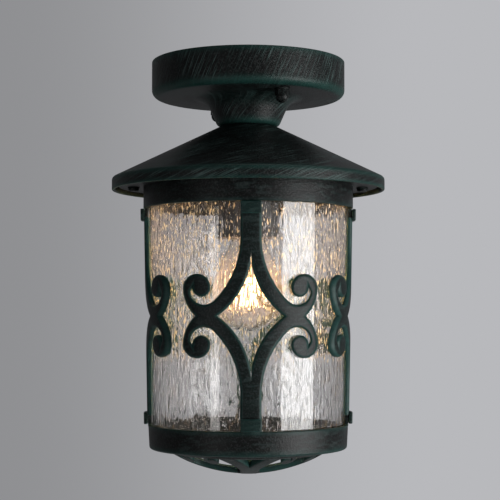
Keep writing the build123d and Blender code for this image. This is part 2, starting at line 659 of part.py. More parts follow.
def scroll_quarter(
    stem_half,
    stem_end,
    flare_start,
    crotch,
    heart_half,
    heart_bow,
    throat,
    throat_radius,
    slit,
    eye_radius,
    eye_height,
    crown_radius,
    waist_outer,
):
    """One quarter of a scroll: half a stem that leaves sideways as an arm and curls back into an eye.

    X runs outwards from the stem's middle and Y along the stem from the waist. Every arc is tangent to
    the next: stem flare, throat, eye, crown and the outside that comes down to the waist.
    """
    throat_x, throat_y = throat
    over = stem_half - throat_x
    up = flare_start - throat_y
    flare = (throat_radius**2 - over**2 - up**2) / (2 * (over + throat_radius))
    flare_x = stem_half + flare
    away = hypot(throat_x - flare_x, throat_y - flare_start)
    turn_x = throat_x + throat_radius * (throat_x - flare_x) / away
    turn_y = throat_y + throat_radius * (throat_y - flare_start) / away
    half_way = (atan2(turn_y - flare_start, turn_x - flare_x) + radians(-180)) / 2
    flare_mid = (flare_x + flare * cos(half_way), flare_start + flare * sin(half_way))
    throat_end = throat_x + throat_radius
    eye_x = throat_end - slit - eye_radius
    eye_inner = eye_x - eye_radius
    crown_end = eye_inner + 2 * crown_radius
    inset = crown_end - waist_outer
    outside = (inset**2 + eye_height**2) / (2 * inset)
    outside_turn = asin(eye_height / outside) / 2
    outside_mid = (
        crown_end - outside + outside * cos(outside_turn),
        eye_height - outside * sin(outside_turn),
    )
    chord = hypot(heart_half, crotch)
    heart_mid = (
        heart_half / 2 - heart_bow * crotch / chord,
        crotch / 2 - heart_bow * heart_half / chord,
    )
    outline = [
        Line((0, stem_end), (stem_half, stem_end)),
        Line((stem_half, stem_end), (stem_half, flare_start)),
        ThreePointArc((stem_half, flare_start), flare_mid, (turn_x, turn_y)),
        ThreePointArc((turn_x, turn_y), (throat_x, throat_y - throat_radius), (throat_end, throat_y)),
        Line((throat_end, throat_y), (throat_end, eye_height)),
        Line((throat_end, eye_height), (throat_end - slit, eye_height)),
        ThreePointArc(
            (throat_end - slit, eye_height), (eye_x, eye_height - eye_radius), (eye_inner, eye_height)
        ),
        ThreePointArc(
            (eye_inner, eye_height),
            (eye_inner + crown_radius, eye_height + crown_radius),
            (crown_end, eye_height),
        ),
        ThreePointArc((crown_end, eye_height), outside_mid, (waist_outer, 0)),
        Line((waist_outer, 0), (heart_half, 0)),
        ThreePointArc((heart_half, 0), heart_mid, (0, crotch)),
        Line((0, crotch), (0, stem_end)),
    ]
    return make_face(Curve() + outline)


def strap():
    """Front strap: a bar that opens into a heart-shaped gap between four scrolls, with a pad at each end."""
    bar_end = CAGE_HEIGHT / 2 - LUG_HEIGHT - JOINT_GAP
    quarter = scroll_quarter(
        stem_half=STRAP_HALF_WIDTH,
        stem_end=bar_end,
        flare_start=SCROLL_FLARE_START,
        crotch=HEART_HALF_HEIGHT,
        heart_half=HEART_HALF_WIDTH,
        heart_bow=HEART_BOW,
        throat=(SCROLL_THROAT_PLACE, SCROLL_THROAT_HEIGHT),
        throat_radius=SCROLL_THROAT_RADIUS,
        slit=SCROLL_SLIT,
        eye_radius=SCROLL_EYE_RADIUS,
        eye_height=SCROLL_EYE_HEIGHT,
        crown_radius=SCROLL_CROWN_RADIUS,
        waist_outer=SCROLL_WAIST,
    )
    half = quarter + mirror(quarter, Plane.YZ)
    pattern = half + mirror(half, Plane.XZ)
    across = Pos(0, 0, CAGE_MIDDLE) * (Plane.XZ * pattern)
    drawn = extrude(across, 2 * CAGE_TOP_RADIUS, dir=(0, -1, 0))
    body = drawn & cage_shell(0, STRAP_THICKNESS, CAGE_BOTTOM, CAGE_TOP)
    pads = [
        (UPPER_LUG_RADIUS, CAGE_TOP - JOINT_GAP - PAD_HEIGHT, CAGE_TOP - JOINT_GAP),
        (LOWER_LUG_RADIUS, CAGE_BOTTOM + JOINT_GAP, CAGE_BOTTOM + JOINT_GAP + PAD_HEIGHT),
    ]
    for lug_radius, low, high in pads:
        outer = lug_radius + LUG_SET_BACK + PAD_PROUD
        pad = tube(outer, lug_radius + SEAT_GAP, low, high)
        body += pad & block(STRAP_HALF_WIDTH, 0, outer + 1, low, high)
    body -= strap_screw(UPPER_LUG_RADIUS, UPPER_SCREW_Z, THREAD_CLEARANCE)
    body -= strap_screw(LOWER_LUG_RADIUS, LOWER_SCREW_Z, THREAD_CLEARANCE)
    return body


def glass_radius(height):
    """Outer radius of the glass at a height."""
    return cage_radius(height) - STRAP_THICKNESS - GLASS_GAP


def glass():
    """Tapered tube, open at both ends."""
    return cage_shell(-STRAP_THICKNESS - GLASS_GAP, GLASS_WALL, GLASS_BOTTOM, GLASS_TOP)


def glass_seal_top():
    """Soft ring between the collar and the glass."""
    inner = glass_radius(GLASS_TOP) - GLASS_WALL
    return tube(COLLAR_RADIUS - COLLAR_WALL - SEAL_CLEARANCE, inner, GLASS_TOP, FLANGE_BOTTOM)


def glass_seal_bottom():
    """Soft ring between the bottom ring's ledge and the glass."""
    outer = glass_radius(GLASS_BOTTOM)
    return tube(outer, outer - GLASS_WALL, RING_LEDGE, GLASS_BOTTOM)


def bottom_ring():
    """Ring with a ledge for the glass and four upward lugs."""
    body = lathe(
        (RING_TOP_RADIUS, CAGE_BOTTOM, ROOF_LIP),
        (RING_BOTTOM_RADIUS, RING_BOTTOM, RING_EDGE),
        (RING_MOUTH, RING_BOTTOM, 0),
        (RING_MOUTH, RING_LEDGE, 0),
        (RING_BOTTOM_RADIUS - RING_WALL, RING_LEDGE, 0),
        (RING_TOP_RADIUS - RING_WALL, CAGE_BOTTOM, 0),
    )
    tab = lug(LOWER_LUG_RADIUS, CAGE_BOTTOM - LUG_ROOT - ROOF_LIP, CAGE_BOTTOM + LUG_HEIGHT)
    for one_lug in around(tab):
        body += one_lug
    for hole in around(strap_screw(LOWER_LUG_RADIUS, LOWER_SCREW_Z, THREAD_CLEARANCE)):
        body -= hole
    for hole in around(grille_screw_rod(THREAD_CLEARANCE), first=45.0):
        body -= hole
    return body


def grille_screw_rod(clearance=0.0):
    """Shank of a grille screw, through the flange into the ring's ledge."""
    low = RING_BOTTOM + SEAT_GAP - clearance
    shank = rod(GRILLE_SCREW_RADIUS + clearance, low, RING_LEDGE + GRILLE_FLANGE)
    return Pos(0, -GRILLE_SCREW_PLACE, 0) * shank


def bottom_grille():
    """Dome of four scroll stems that meet at a boss, with a rim and a flange on the ring's ledge."""
    quarter = scroll_quarter(
        stem_half=GRILLE_STEM_HALF,
        stem_end=GRILLE_RADIUS,
        flare_start=GRILLE_FLARE_START,
        crotch=GRILLE_CROTCH,
        heart_half=GRILLE_HEART_HALF,
        heart_bow=GRILLE_HEART_BOW,
        throat=(GRILLE_THROAT_PLACE, GRILLE_THROAT_HEIGHT),
        throat_radius=GRILLE_THROAT_RADIUS,
        slit=GRILLE_SLIT,
        eye_radius=GRILLE_EYE_RADIUS,
        eye_height=GRILLE_EYE_HEIGHT,
        crown_radius=GRILLE_CROWN_RADIUS,
        waist_outer=GRILLE_WAIST,
    )
    motif = Pos(0, -GRILLE_RADIUS, 0) * (quarter + mirror(quarter, Plane.YZ))
    rim_inside = GRILLE_RADIUS - GRILLE_RIM
    pattern = Circle(GRILLE_RADIUS) - Circle(rim_inside) + Circle(GRILLE_BOSS)
    for one_motif in around(motif):
        pattern += one_motif & Circle(GRILLE_RADIUS)
    ball = Pos(0, 0, GRILLE_CENTRE) * (Sphere(GRILLE_BALL_RADIUS) - Sphere(GRILLE_BALL_RADIUS - GRILLE_WALL))
    dome_edge = GRILLE_CENTRE - sqrt(GRILLE_BALL_RADIUS**2 - GRILLE_RADIUS**2)
    flange_top = RING_LEDGE + GRILLE_FLANGE
    dome = Pos(0, 0, GRILLE_BOTTOM - 1) * extrude(pattern, flange_top - GRILLE_BOTTOM, dir=(0, 0, 1)) & ball
    dome += tube(GRILLE_RADIUS, rim_inside, dome_edge, flange_top)
    dome += tube(GRILLE_FLANGE_RADIUS, rim_inside, RING_LEDGE, flange_top)
    for hole in around(grille_screw_rod(THREAD_CLEARANCE), first=45.0):
        dome -= hole
    return dome


def grille_screws():
    """Four screws through the grille's flange into the ring."""
    seat = RING_LEDGE + GRILLE_FLANGE
    head = Pos(0, -GRILLE_SCREW_PLACE, 0) * rod(GRILLE_HEAD_RADIUS, seat, seat + GRILLE_HEAD_HEIGHT)
    return group(around(grille_screw_rod() + head, first=45.0))


def flange_washer(side):
    """Washer under a roof screw's head."""
    top = FLANGE_BOTTOM - SEAT_GAP
    bore = FLANGE_SCREW_RADIUS + HOLE_CLEARANCE
    ring = tube(FLANGE_WASHER_RADIUS, bore, top - FLANGE_WASHER_THICKNESS, top)
    return Pos(side * FLANGE_SCREW_PLACE, 0, 0) * ring


def flange_screw(side):
    """Round-headed screw that hangs the collar from a boss in the roof."""
    seat = FLANGE_BOTTOM - FLANGE_WASHER_THICKNESS - 2 * SEAT_GAP
    head_low = seat - FLANGE_HEAD_HEIGHT
    body = lathe(
        (0, FLANGE_TOP + FLANGE_SCREW_ENGAGED, 0),
        (FLANGE_SCREW_RADIUS, FLANGE_TOP + FLANGE_SCREW_ENGAGED, 0),
        (FLANGE_SCREW_RADIUS, seat, 0),
        (FLANGE_HEAD_RADIUS, seat, 0),
        (FLANGE_HEAD_RADIUS, head_low, FLANGE_HEAD_HEIGHT * 0.7),
        (0, head_low, 0),
    )
    slot = Pos(0, 0, head_low) * Box(2 * FLANGE_HEAD_RADIUS, FLANGE_HEAD_HEIGHT / 3, FLANGE_HEAD_HEIGHT)
    return Pos(side * FLANGE_SCREW_PLACE, 0, 0) * (body - slot)


# Lampholder and lamp


def lampholder_cap():
    """Domed top with a threaded neck on the tube and a spigot that locates the insert."""
    inside = HOLDER_RADIUS - HOLDER_WALL
    spigot = inside - INSERT_CLEARANCE
    spigot_inside = spigot - HOLDER_WALL
    neck_bore = NIPPLE_RADIUS + THREAD_CLEARANCE
    dome_inside = NIPPLE_BOTTOM
    return lathe(
        (neck_bore, CAP_TOP, 0),
        (CAP_NECK_RADIUS, CAP_TOP, 0),
        (CAP_NECK_RADIUS, CAP_TOP - CAP_DOME / 4, 0),
        (HOLDER_RADIUS, CAP_TOP - CAP_DOME / 2, CAP_DOME / 3),
        (HOLDER_RADIUS, SKIRT_TOP, 0),
        (spigot, SKIRT_TOP, 0),
        (spigot, SKIRT_TOP - CAP_SPIGOT, 0),
        (spigot_inside, SKIRT_TOP - CAP_SPIGOT, 0),
        (spigot_inside, dome_inside - HOLDER_WALL, 0),
        (neck_bore, dome_inside, 0),
    )


def lampholder_skirt():
    """Dark sleeve round the insert, turned in at its lower lip."""
    inside = HOLDER_RADIUS - HOLDER_WALL
    return lathe(
        (inside, SKIRT_TOP, 0),
        (HOLDER_RADIUS, SKIRT_TOP, 0),
        (HOLDER_RADIUS, HOLDER_LIP, 1.0),
        (inside - SKIRT_LIP, HOLDER_LIP, 0),
        (inside - SKIRT_LIP, HOLDER_LIP + SKIRT_LIP, 0),
        (inside, HOLDER_LIP + SKIRT_LIP, 0),
    )


def lampholder_insert():
    """Porcelain body with a floor for the contacts and a bore for the screw shell."""
    outer = HOLDER_RADIUS - HOLDER_WALL - INSERT_CLEARANCE
    bore = SHELL_RADIUS + INSERT_CLEARANCE
    low = HOLDER_LIP + SKIRT_LIP
    return lathe(
        (0, INSERT_TOP, 0), (outer, INSERT_TOP, 0), (outer, low, 0), (bore, low, 0), (bore, INSERT_BASE, 0),
        (0, INSERT_BASE, 0),
    )


def lampholder_shell():
    """Screw shell that takes the lamp's cap."""
    return tube(SHELL_RADIUS, SHELL_RADIUS - SHELL_WALL, INSERT_BASE - SHELL_HEIGHT, INSERT_BASE)


def lampholder_contact():
    """Bent spring strip that presses on the lamp's tip."""
    strip = Box(CONTACT_LENGTH, CONTACT_WIDTH, CONTACT_THICKNESS)
    tongue = Box(CONTACT_LENGTH / 3, CONTACT_WIDTH, 3 * CONTACT_THICKNESS)
    strip_middle = INSERT_BASE - CONTACT_THICKNESS / 2
    tongue_middle = INSERT_BASE - 4 * CONTACT_THICKNESS + 1.5 * CONTACT_THICKNESS
    return Pos(0, 0, strip_middle) * strip + Pos(0, 0, tongue_middle) * tongue


def lampholder_terminals():
    """Two posts on the insert that take the wires."""
    post = rod(POST_RADIUS, INSERT_TOP, INSERT_TOP + POST_HEIGHT)
    return group([on_bar(side * POST_PLACE) * post for side in (-1, 1)])


def lamp_tip_contact():
    """Solder contact at the lamp's end."""
    return rod(LAMP_TIP_RADIUS, LAMP_TIP - LAMP_TIP_HEIGHT, LAMP_TIP)


def lamp_insulator():
    """Dark glass between the tip contact and the screw cap."""
    high = LAMP_TIP - LAMP_TIP_HEIGHT
    low = high - LAMP_INSULATOR_HEIGHT
    return lathe((0, high, 0), (LAMP_TIP_RADIUS, high, 0), (LAMP_CAP_RADIUS, low, 0), (0, low, 0))


def lamp_cap():
    """Screw cap of the lamp."""
    high = LAMP_TIP - LAMP_TIP_HEIGHT - LAMP_INSULATOR_HEIGHT
    return tube(LAMP_CAP_RADIUS, LAMP_CAP_RADIUS - LAMP_CAP_WALL, LAMP_CAP_RIM, high)


def lamp_envelope():
    """Clear pear-shaped bulb, open into the cap."""
    centre = LAMP_BOTTOM + LAMP_BALL_RADIUS
    shoulder = LAMP_CAP_RIM - LAMP_NECK_BELOW_CAP

    def outline(inset):
        ball = LAMP_BALL_RADIUS - inset
        neck = LAMP_NECK_RADIUS - inset
        rise = shoulder - centre
        reach = hypot(neck, rise)
        meet = atan2(rise, neck) - asin(sqrt(1 - (ball / reach) ** 2))
        return [
            ThreePointArc(
                (0, centre - ball),
                (ball * cos((meet - radians(90)) / 2), centre + ball * sin((meet - radians(90)) / 2)),
                (ball * cos(meet), centre + ball * sin(meet)),
            ),
            Line((ball * cos(meet), centre + ball * sin(meet)), (neck, shoulder)),
            Line((neck, shoulder), (neck, LAMP_NECK_TOP)),
        ]

    bottom_line = Line((0, LAMP_BOTTOM), (0, LAMP_BOTTOM + LAMP_GLASS))
    top_line = Line((LAMP_NECK_RADIUS, LAMP_NECK_TOP), (LAMP_NECK_RADIUS - LAMP_GLASS, LAMP_NECK_TOP))
    section = make_face(Curve() + outline(0) + outline(LAMP_GLASS) + [bottom_line, top_line])
    return revolve(Plane.XZ * section, axis=Axis.Z)


LIGHT_CENTRE = LAMP_TIP - LAMP_LIGHT_CENTRE
STEM_TOP = LAMP_NECK_TOP - LAMP_GLASS
STEM_BOTTOM = STEM_TOP - STEM_LENGTH


def lamp_stem():
    """Glass foot inside the neck that carries the leads."""
    foot = LAMP_NECK_RADIUS - LAMP_GLASS - THREAD_CLEARANCE
    return lathe(
        (0, STEM_TOP, 0), (foot, STEM_TOP, 0), (foot, STEM_TOP - LAMP_GLASS, 0),
        (STEM_RADIUS, STEM_TOP - STEM_LENGTH / 3, 0), (STEM_RADIUS, STEM_BOTTOM, 1.0), (0, STEM_BOTTOM, 0),
    )


def filament_points():
    """Corners of the filament, up and down round the stem's axis, with its opening at the back."""
    points = []
    for index in range(FILAMENT_LEGS + 1):
        turn = radians((360 - FILAMENT_OPENING) * (index / FILAMENT_LEGS - 0.5))
        height = LIGHT_CENTRE + FILAMENT_HALF_HEIGHT * (-1) ** index
        points.append((FILAMENT_RING * sin(turn), -FILAMENT_RING * cos(turn), height))
    return points


def lamp_leads():
    """Two wires from the stem to the filament's ends."""
    ends = filament_points()
    leads = []
    for side, end in ((-1, ends[0]), (1, ends[-1])):
        path = Line((side * LEAD_SPREAD, 0, STEM_BOTTOM + LEAD_BITE), end)
        leads.append(sweep(Plane(origin=path @ 0, z_dir=path % 0) * Circle(LEAD_RADIUS), path=path))
    return group(leads)


def lamp_filament():
    """Filament strung up and down in hairpins between the two leads."""
    path = FilletPolyline(*filament_points(), radius=FILAMENT_BEND)
    return sweep(Plane(origin=path @ 0, z_dir=path % 0) * Circle(FILAMENT_RADIUS), path=path)


def nodes():
    """Every piece by its name."""
    front, rear = stud_places()
    pieces = {
        "crossbar": crossbar(),
        "canopy_studs": canopy_studs(),
        "stud_nuts": stud_nuts(),
        "terminal_block": terminal_block(),
        "terminal_barrels": terminal_barrels(),
        "terminal_screws": terminal_screws(),
        "terminal_fixing_screw": terminal_fixing_screw(),
        "earth_lug": earth_lug(),
        "earth_screw": earth_screw(),
        "live_wire": lamp_wire(-1),
        "neutral_wire": lamp_wire(1),
        "earth_wire": earth_wire(),
        "canopy": canopy(),
        "canopy_washer_front": front * canopy_washer(),
        "canopy_washer_rear": rear * canopy_washer(),
        "cap_nut_front": front * cap_nut(),
        "cap_nut_rear": rear * cap_nut(),
        "nipple": nipple(),
        "nipple_washers": nipple_washers(),
        "nipple_nuts": nipple_nuts(),
        "roof": roof(),
        "holder_lock_nut": big_nut(CAP_TOP),
        "lampholder_cap": lampholder_cap(),
        "lampholder_skirt": lampholder_skirt(),
        "lampholder_insert": lampholder_insert(),
        "lampholder_shell": lampholder_shell(),
        "lampholder_contact": lampholder_contact(),
        "lampholder_terminals": lampholder_terminals(),
        "lamp_tip_contact": lamp_tip_contact(),
        "lamp_insulator": lamp_insulator(),
        "lamp_cap": lamp_cap(),
        "lamp_envelope": lamp_envelope(),
        "lamp_stem": lamp_stem(),
        "lamp_leads": lamp_leads(),
        "lamp_filament": lamp_filament(),
        "collar": collar(),
        "glass_seal_top": glass_seal_top(),
        "glass": glass(),
        "glass_seal_bottom": glass_seal_bottom(),
        "bottom_ring": bottom_ring(),
        "bottom_grille": bottom_grille(),
        "grille_screws": grille_screws(),
        "strap_screws_upper": group(around(strap_screw(UPPER_LUG_RADIUS, UPPER_SCREW_Z))),
        "strap_screws_lower": group(around(strap_screw(LOWER_LUG_RADIUS, LOWER_SCREW_Z))),
    }
    for name, one_strap in zip(("front", "right", "back", "left"), around(strap())):
        pieces[f"strap_{name}"] = one_strap
    for name, side in (("left", -1), ("right", 1)):
        pieces[f"flange_washer_{name}"] = flange_washer(side)
        pieces[f"flange_screw_{name}"] = flange_screw(side)
    return pieces


os.makedirs("parts", exist_ok=True)
for node, piece in nodes().items():
    export_step(piece, f"parts/{node}.step")
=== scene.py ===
"""Dresses the outdoor ceiling lantern: verdigris castings, rain glass, lit lamp, studio and camera."""

import logging
from dataclasses import dataclass, field
from enum import Enum
from math import acos, asin, atan2, ceil, cos, exp, hypot, pi, radians, sin, sqrt, tan
from typing import Any, Callable, Optional, Sequence, Union

import bmesh
import bpy
from bmesh.types import BMEdge, BMesh, BMFace, BMVert
from bpy.types import Material, Mesh, Node, NodeSocket, Object, World
from mathutils import Matrix, Vector, noise


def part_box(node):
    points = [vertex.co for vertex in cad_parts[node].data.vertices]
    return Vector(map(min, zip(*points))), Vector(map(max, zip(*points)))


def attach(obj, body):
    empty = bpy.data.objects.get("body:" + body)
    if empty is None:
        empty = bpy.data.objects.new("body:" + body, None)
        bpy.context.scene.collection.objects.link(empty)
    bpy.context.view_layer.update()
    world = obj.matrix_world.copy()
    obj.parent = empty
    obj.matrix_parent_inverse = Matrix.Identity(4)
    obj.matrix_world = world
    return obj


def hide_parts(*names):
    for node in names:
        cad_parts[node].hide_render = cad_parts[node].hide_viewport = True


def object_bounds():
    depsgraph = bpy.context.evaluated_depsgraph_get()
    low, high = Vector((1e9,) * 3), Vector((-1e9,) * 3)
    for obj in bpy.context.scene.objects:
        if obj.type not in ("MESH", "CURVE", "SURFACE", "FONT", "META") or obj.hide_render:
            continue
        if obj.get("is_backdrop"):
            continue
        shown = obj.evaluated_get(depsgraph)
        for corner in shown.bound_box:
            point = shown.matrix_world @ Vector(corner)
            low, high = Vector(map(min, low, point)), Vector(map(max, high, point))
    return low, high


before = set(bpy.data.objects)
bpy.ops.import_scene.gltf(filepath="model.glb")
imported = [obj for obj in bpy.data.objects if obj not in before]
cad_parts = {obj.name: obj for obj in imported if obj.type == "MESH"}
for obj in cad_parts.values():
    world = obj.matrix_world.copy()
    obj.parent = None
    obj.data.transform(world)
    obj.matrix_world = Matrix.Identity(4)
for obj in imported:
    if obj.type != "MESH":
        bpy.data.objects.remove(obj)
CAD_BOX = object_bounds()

LOG = logging.getLogger("lantern")
MM = 0.001
SAME_POINT = 1e-6
SAME_PLANE = 1e-7
SHARP_EDGE = radians(34)
Point = tuple[float, float]
Triple = tuple[float, float, float]
Colour = Triple


class Body(Enum):
    """Rigid bodies that pieces ride on."""

    FIXTURE = "fixture"
    CAGE = "cage"
    LAMP = "lamp"


class Slot(Enum):
    """Material slots of the record."""

    PAINT = "verdigris_paint"
    RAIN_GLASS = "rain_glass"


class Side(Enum):
    """Places of the straps round the glass, in degrees from the front."""

    FRONT = 0
    RIGHT = 90
    BACK = 180
    LEFT = 270

    def turn(self) -> Matrix:
        """The turn from the front to this side."""
        return Matrix.Rotation(radians(self.value), 3, "Z")


# Shader maths


class Signal:
    """A shader value that plain arithmetic can be written on."""

    def __init__(self, sheet: "NodeSheet", socket: NodeSocket) -> None:
        """Keeps the sheet that owns the socket and the socket itself."""
        self.sheet = sheet
        self.socket = socket

    def maths(self, operation: str, *others: Any) -> "Signal":
        """The result of a Math node on this value and others."""
        made = self.sheet.node("ShaderNodeMath", dict(enumerate((self, *others))), operation=operation)
        return Signal(self.sheet, made.outputs[0])

    def __add__(self, other: Any) -> "Signal":
        """Sum."""
        return self.maths("ADD", other)

    def __sub__(self, other: Any) -> "Signal":
        """Difference."""
        return self.maths("SUBTRACT", other)

    def __rsub__(self, other: Any) -> "Signal":
        """Difference with a number on the left."""
        return self * -1.0 + other

    def __mul__(self, other: Any) -> "Signal":
        """Product."""
        return self.maths("MULTIPLY", other)

    def __truediv__(self, other: Any) -> "Signal":
        """Quotient."""
        return self.maths("DIVIDE", other)

    __radd__ = __add__
    __rmul__ = __mul__

    def clamp(self) -> "Signal":
        """Holds the value between 0 and 1."""
        return self.maths("MINIMUM", 1.0).maths("MAXIMUM", 0.0)

    def between(self, low: float, high: float) -> "Signal":
        """Rises smoothly from 0 at low to 1 at high."""
        inputs = {"Value": self, "From Min": low, "From Max": high}
        made = self.sheet.node("ShaderNodeMapRange", inputs, interpolation_type="SMOOTHSTEP")
        return Signal(self.sheet, made.outputs[0])


class NodeSheet:
    """A node tree that is being filled."""

    def __init__(self, owner: Union[Material, World]) -> None:
        """Empties the owner's node tree."""
        owner.use_nodes = True
        self.tree = owner.node_tree
        self.tree.nodes.clear()

    def node(self, kind: str, inputs: Optional[dict[Any, Any]] = None, **settings: Any) -> Node:
        """Adds a node.

        Args:
            kind: The node's type.
            inputs: Values or links by socket name or number. Colours are opaque.
            settings: Properties that are set first.

        Returns:
            The new node.
        """
        made = self.tree.nodes.new(kind)
        for name, value in settings.items():
            setattr(made, name, value)
        for key, value in (inputs or {}).items():
            socket = made.inputs[key]
            if isinstance(value, Signal):
                self.tree.links.new(value.socket, socket)
            elif isinstance(value, NodeSocket):
                self.tree.links.new(value, socket)
            else:
                socket.default_value = (*value, 1.0) if socket.type == "RGBA" else value
        return made

    def object_place(self) -> NodeSocket:
        """The surface's place in the lantern's own frame."""
        return self.node("ShaderNodeTexCoord").outputs["Object"]

    def parts(self, place: NodeSocket) -> list[Signal]:
        """A place as its three values."""
        made = self.node("ShaderNodeSeparateXYZ", {0: place})
        return [Signal(self, socket) for socket in made.outputs]

    def joined(self, *values: Signal) -> NodeSocket:
        """A place from its values."""
        return self.node("ShaderNodeCombineXYZ", dict(enumerate(values))).outputs[0]

    def stretched(self, place: NodeSocket, scale: Triple) -> NodeSocket:
        """A place multiplied per axis."""
        made = self.node("ShaderNodeVectorMath", {0: place, 1: scale}, operation="MULTIPLY")
        return made.outputs[0]

    def cloud(self, place: NodeSocket, scale: float, detail: float) -> Signal:
        """Soft noise between 0 and 1."""
        made = self.node("ShaderNodeTexNoise", {"Vector": place, "Scale": scale, "Detail": detail})
        return Signal(self, made.outputs[0])

    def stored(self, name: str) -> Signal:
        """A value that the piece stores for each of its points."""
        return Signal(self, self.node("ShaderNodeAttribute", attribute_name=name).outputs["Fac"])

    def ray(self, name: str) -> Signal:
        """1 for one kind of ray."""
        return Signal(self, self.node("ShaderNodeLightPath").outputs[name])

    def mixed(self, factor: Any, first: Any, second: Any) -> NodeSocket:
        """A colour between two colours."""
        made = self.node("ShaderNodeMix", {0: factor, 6: first, 7: second}, data_type="RGBA")
        return made.outputs[2]

    def raised(self, height: Signal, distance: float, strength: float) -> NodeSocket:
        """A surface direction that follows a height."""
        inputs = {"Height": height, "Distance": distance, "Strength": strength}
        return self.node("ShaderNodeBump", inputs).outputs[0]

    def blended(self, factor: Any, first: Node, second: Node) -> Node:
        """A shader between two shaders."""
        inputs = {0: factor, 1: first.outputs[0], 2: second.outputs[0]}
        return self.node("ShaderNodeMixShader", inputs)


class FinishSheet(NodeSheet):
    """One material's node sheet."""

    def __init__(self, name: str) -> None:
        """Starts an empty material."""
        self.material = bpy.data.materials.new(name)
        super().__init__(self.material)

    def principled(self, inputs: dict[str, Any]) -> Node:
        """The main shader with some of its inputs set."""
        return self.node("ShaderNodeBsdfPrincipled", inputs)

    def clear_in_shadow(self, shader: Node, colour: Colour) -> Node:
        """A glass that lets light past, tinted, instead of throwing a dark shadow."""
        open_way = self.node("ShaderNodeBsdfTransparent", {"Color": colour})
        return self.blended(self.ray("Is Shadow Ray"), shader, open_way)

    def surface(self, shader: Node) -> Material:
        """Ends the sheet with a shader."""
        self.node("ShaderNodeOutputMaterial", {"Surface": shader.outputs[0]})
        return self.material


# Finishes


@dataclass(frozen=True)
class BrushStrokes:
    """How the dry brush ran over a turned piece, in strokes per metre across the brush and along the wall.

    Slant is a stroke's sideways run for its run along the wall, and lean its rise to the right. The strokes
    are spread at the radius of a neck or a drum, and the widening lies between the two.
    """

    across: float
    along: float
    slant: float
    lean: float
    amount: float
    neck: float = 0.028
    drum: float = 0.070
    widening: Point = (0.040, 0.050)


@dataclass(frozen=True)
class VerdigrisPaint:
    """Near-black textured paint with green-blue rubbed on the edges and brushed over the faces.

    Wear has an even, a mottled and a streaky part, roughness a part each from ground, sand and brush, and
    grit from sand and brush.
    """

    name: str
    strokes: BrushStrokes
    dark: Colour = (0.0028, 0.0034, 0.0034)
    grey: Colour = (0.0190, 0.0210, 0.0210)
    green: Colour = (0.0100, 0.0400, 0.0340)
    chalk: Colour = (0.0600, 0.0860, 0.0830)
    gloss: float = 0.19
    slope: float = 0.3
    patch_scale: float = 30.0
    mottle_scale: float = 170.0
    sand_scale: float = 800.0
    patch_range: Point = (0.36, 0.60)
    stroke_range: Point = (0.48, 0.62)
    chalk_range: Point = (0.48, 0.66)
    sand_range: Point = (0.46, 0.68)
    thin_share: float = 0.25
    sand_share: float = 0.9
    wear: Triple = (0.2, 0.8, 0.5)
    rough: Triple = (0.32, 0.16, 0.1)
    grit: Point = (0.9, 0.5)

    def bristles(self, sheet: FinishSheet, place: NodeSocket) -> Signal:
        """Runs the brush round the piece.

        Args:
            sheet: The material's sheet.
            place: The surface's place.

        Returns:
            Streaky noise that follows the strokes.
        """
        strokes = self.strokes
        x, y, z = sheet.parts(place)
        out = (x * x + y * y).maths("SQRT")
        wall = out * self.slope - z
        spread = out.between(*strokes.widening) * (strokes.drum - strokes.neck) + strokes.neck
        angle = wall * (strokes.slant * strokes.drum) / (spread * spread)
        inputs = {"Vector": sheet.joined(x, y), "Angle": angle}
        twisted = sheet.node("ShaderNodeVectorRotate", inputs, rotation_type="Z_AXIS")
        tx, ty, _ = sheet.parts(twisted.outputs[0])
        run = sheet.joined(
            tx * spread / out * strokes.across,
            ty * spread / out * strokes.across,
            (wall + x * strokes.lean) * strokes.along,
        )
        return sheet.cloud(run, scale=1.0, detail=5.0)

    def make(self) -> Material:
        """Builds the paint.

        Returns:
            A material that reads the piece's rub attribute for its worn edges.
        """
        sheet = FinishSheet(self.name)
        place = sheet.object_place()
        bristles = self.bristles(sheet, place)
        patches = sheet.cloud(place, self.patch_scale, detail=3.0)
        mottle = sheet.cloud(place, self.mottle_scale, detail=4.0)
        sand = sheet.cloud(place, self.sand_scale, detail=3.0)
        covered = patches.between(*self.patch_range) * (1.0 - self.thin_share) + self.thin_share
        brushed = (bristles.between(*self.stroke_range) * covered * self.strokes.amount).clamp()
        wear = mottle * self.wear[1] + bristles * self.wear[2] + self.wear[0]
        # The stored rub is green wear; on the straps it also holds a painted highlight on the edges and
        # pads.
        worn = (sheet.stored("rub") * wear).clamp()
        ground = sheet.mixed(sand.between(*self.sand_range) * self.sand_share, self.dark, self.grey)
        pigment = sheet.mixed(bristles.between(*self.chalk_range), self.green, self.chalk)
        streaked = sheet.mixed(brushed, ground, pigment)
        grit = sand * self.grit[0] + bristles * self.grit[1]
        inputs = {
            "Base Color": sheet.mixed(worn, streaked, self.green),
            "Roughness": (sand * self.rough[1] + brushed * self.rough[2] + self.rough[0]).clamp(),
            "Specular IOR Level": self.gloss,
            "Normal": sheet.raised(grit, distance=0.0003, strength=0.8),
        }
        return sheet.surface(sheet.principled(inputs))


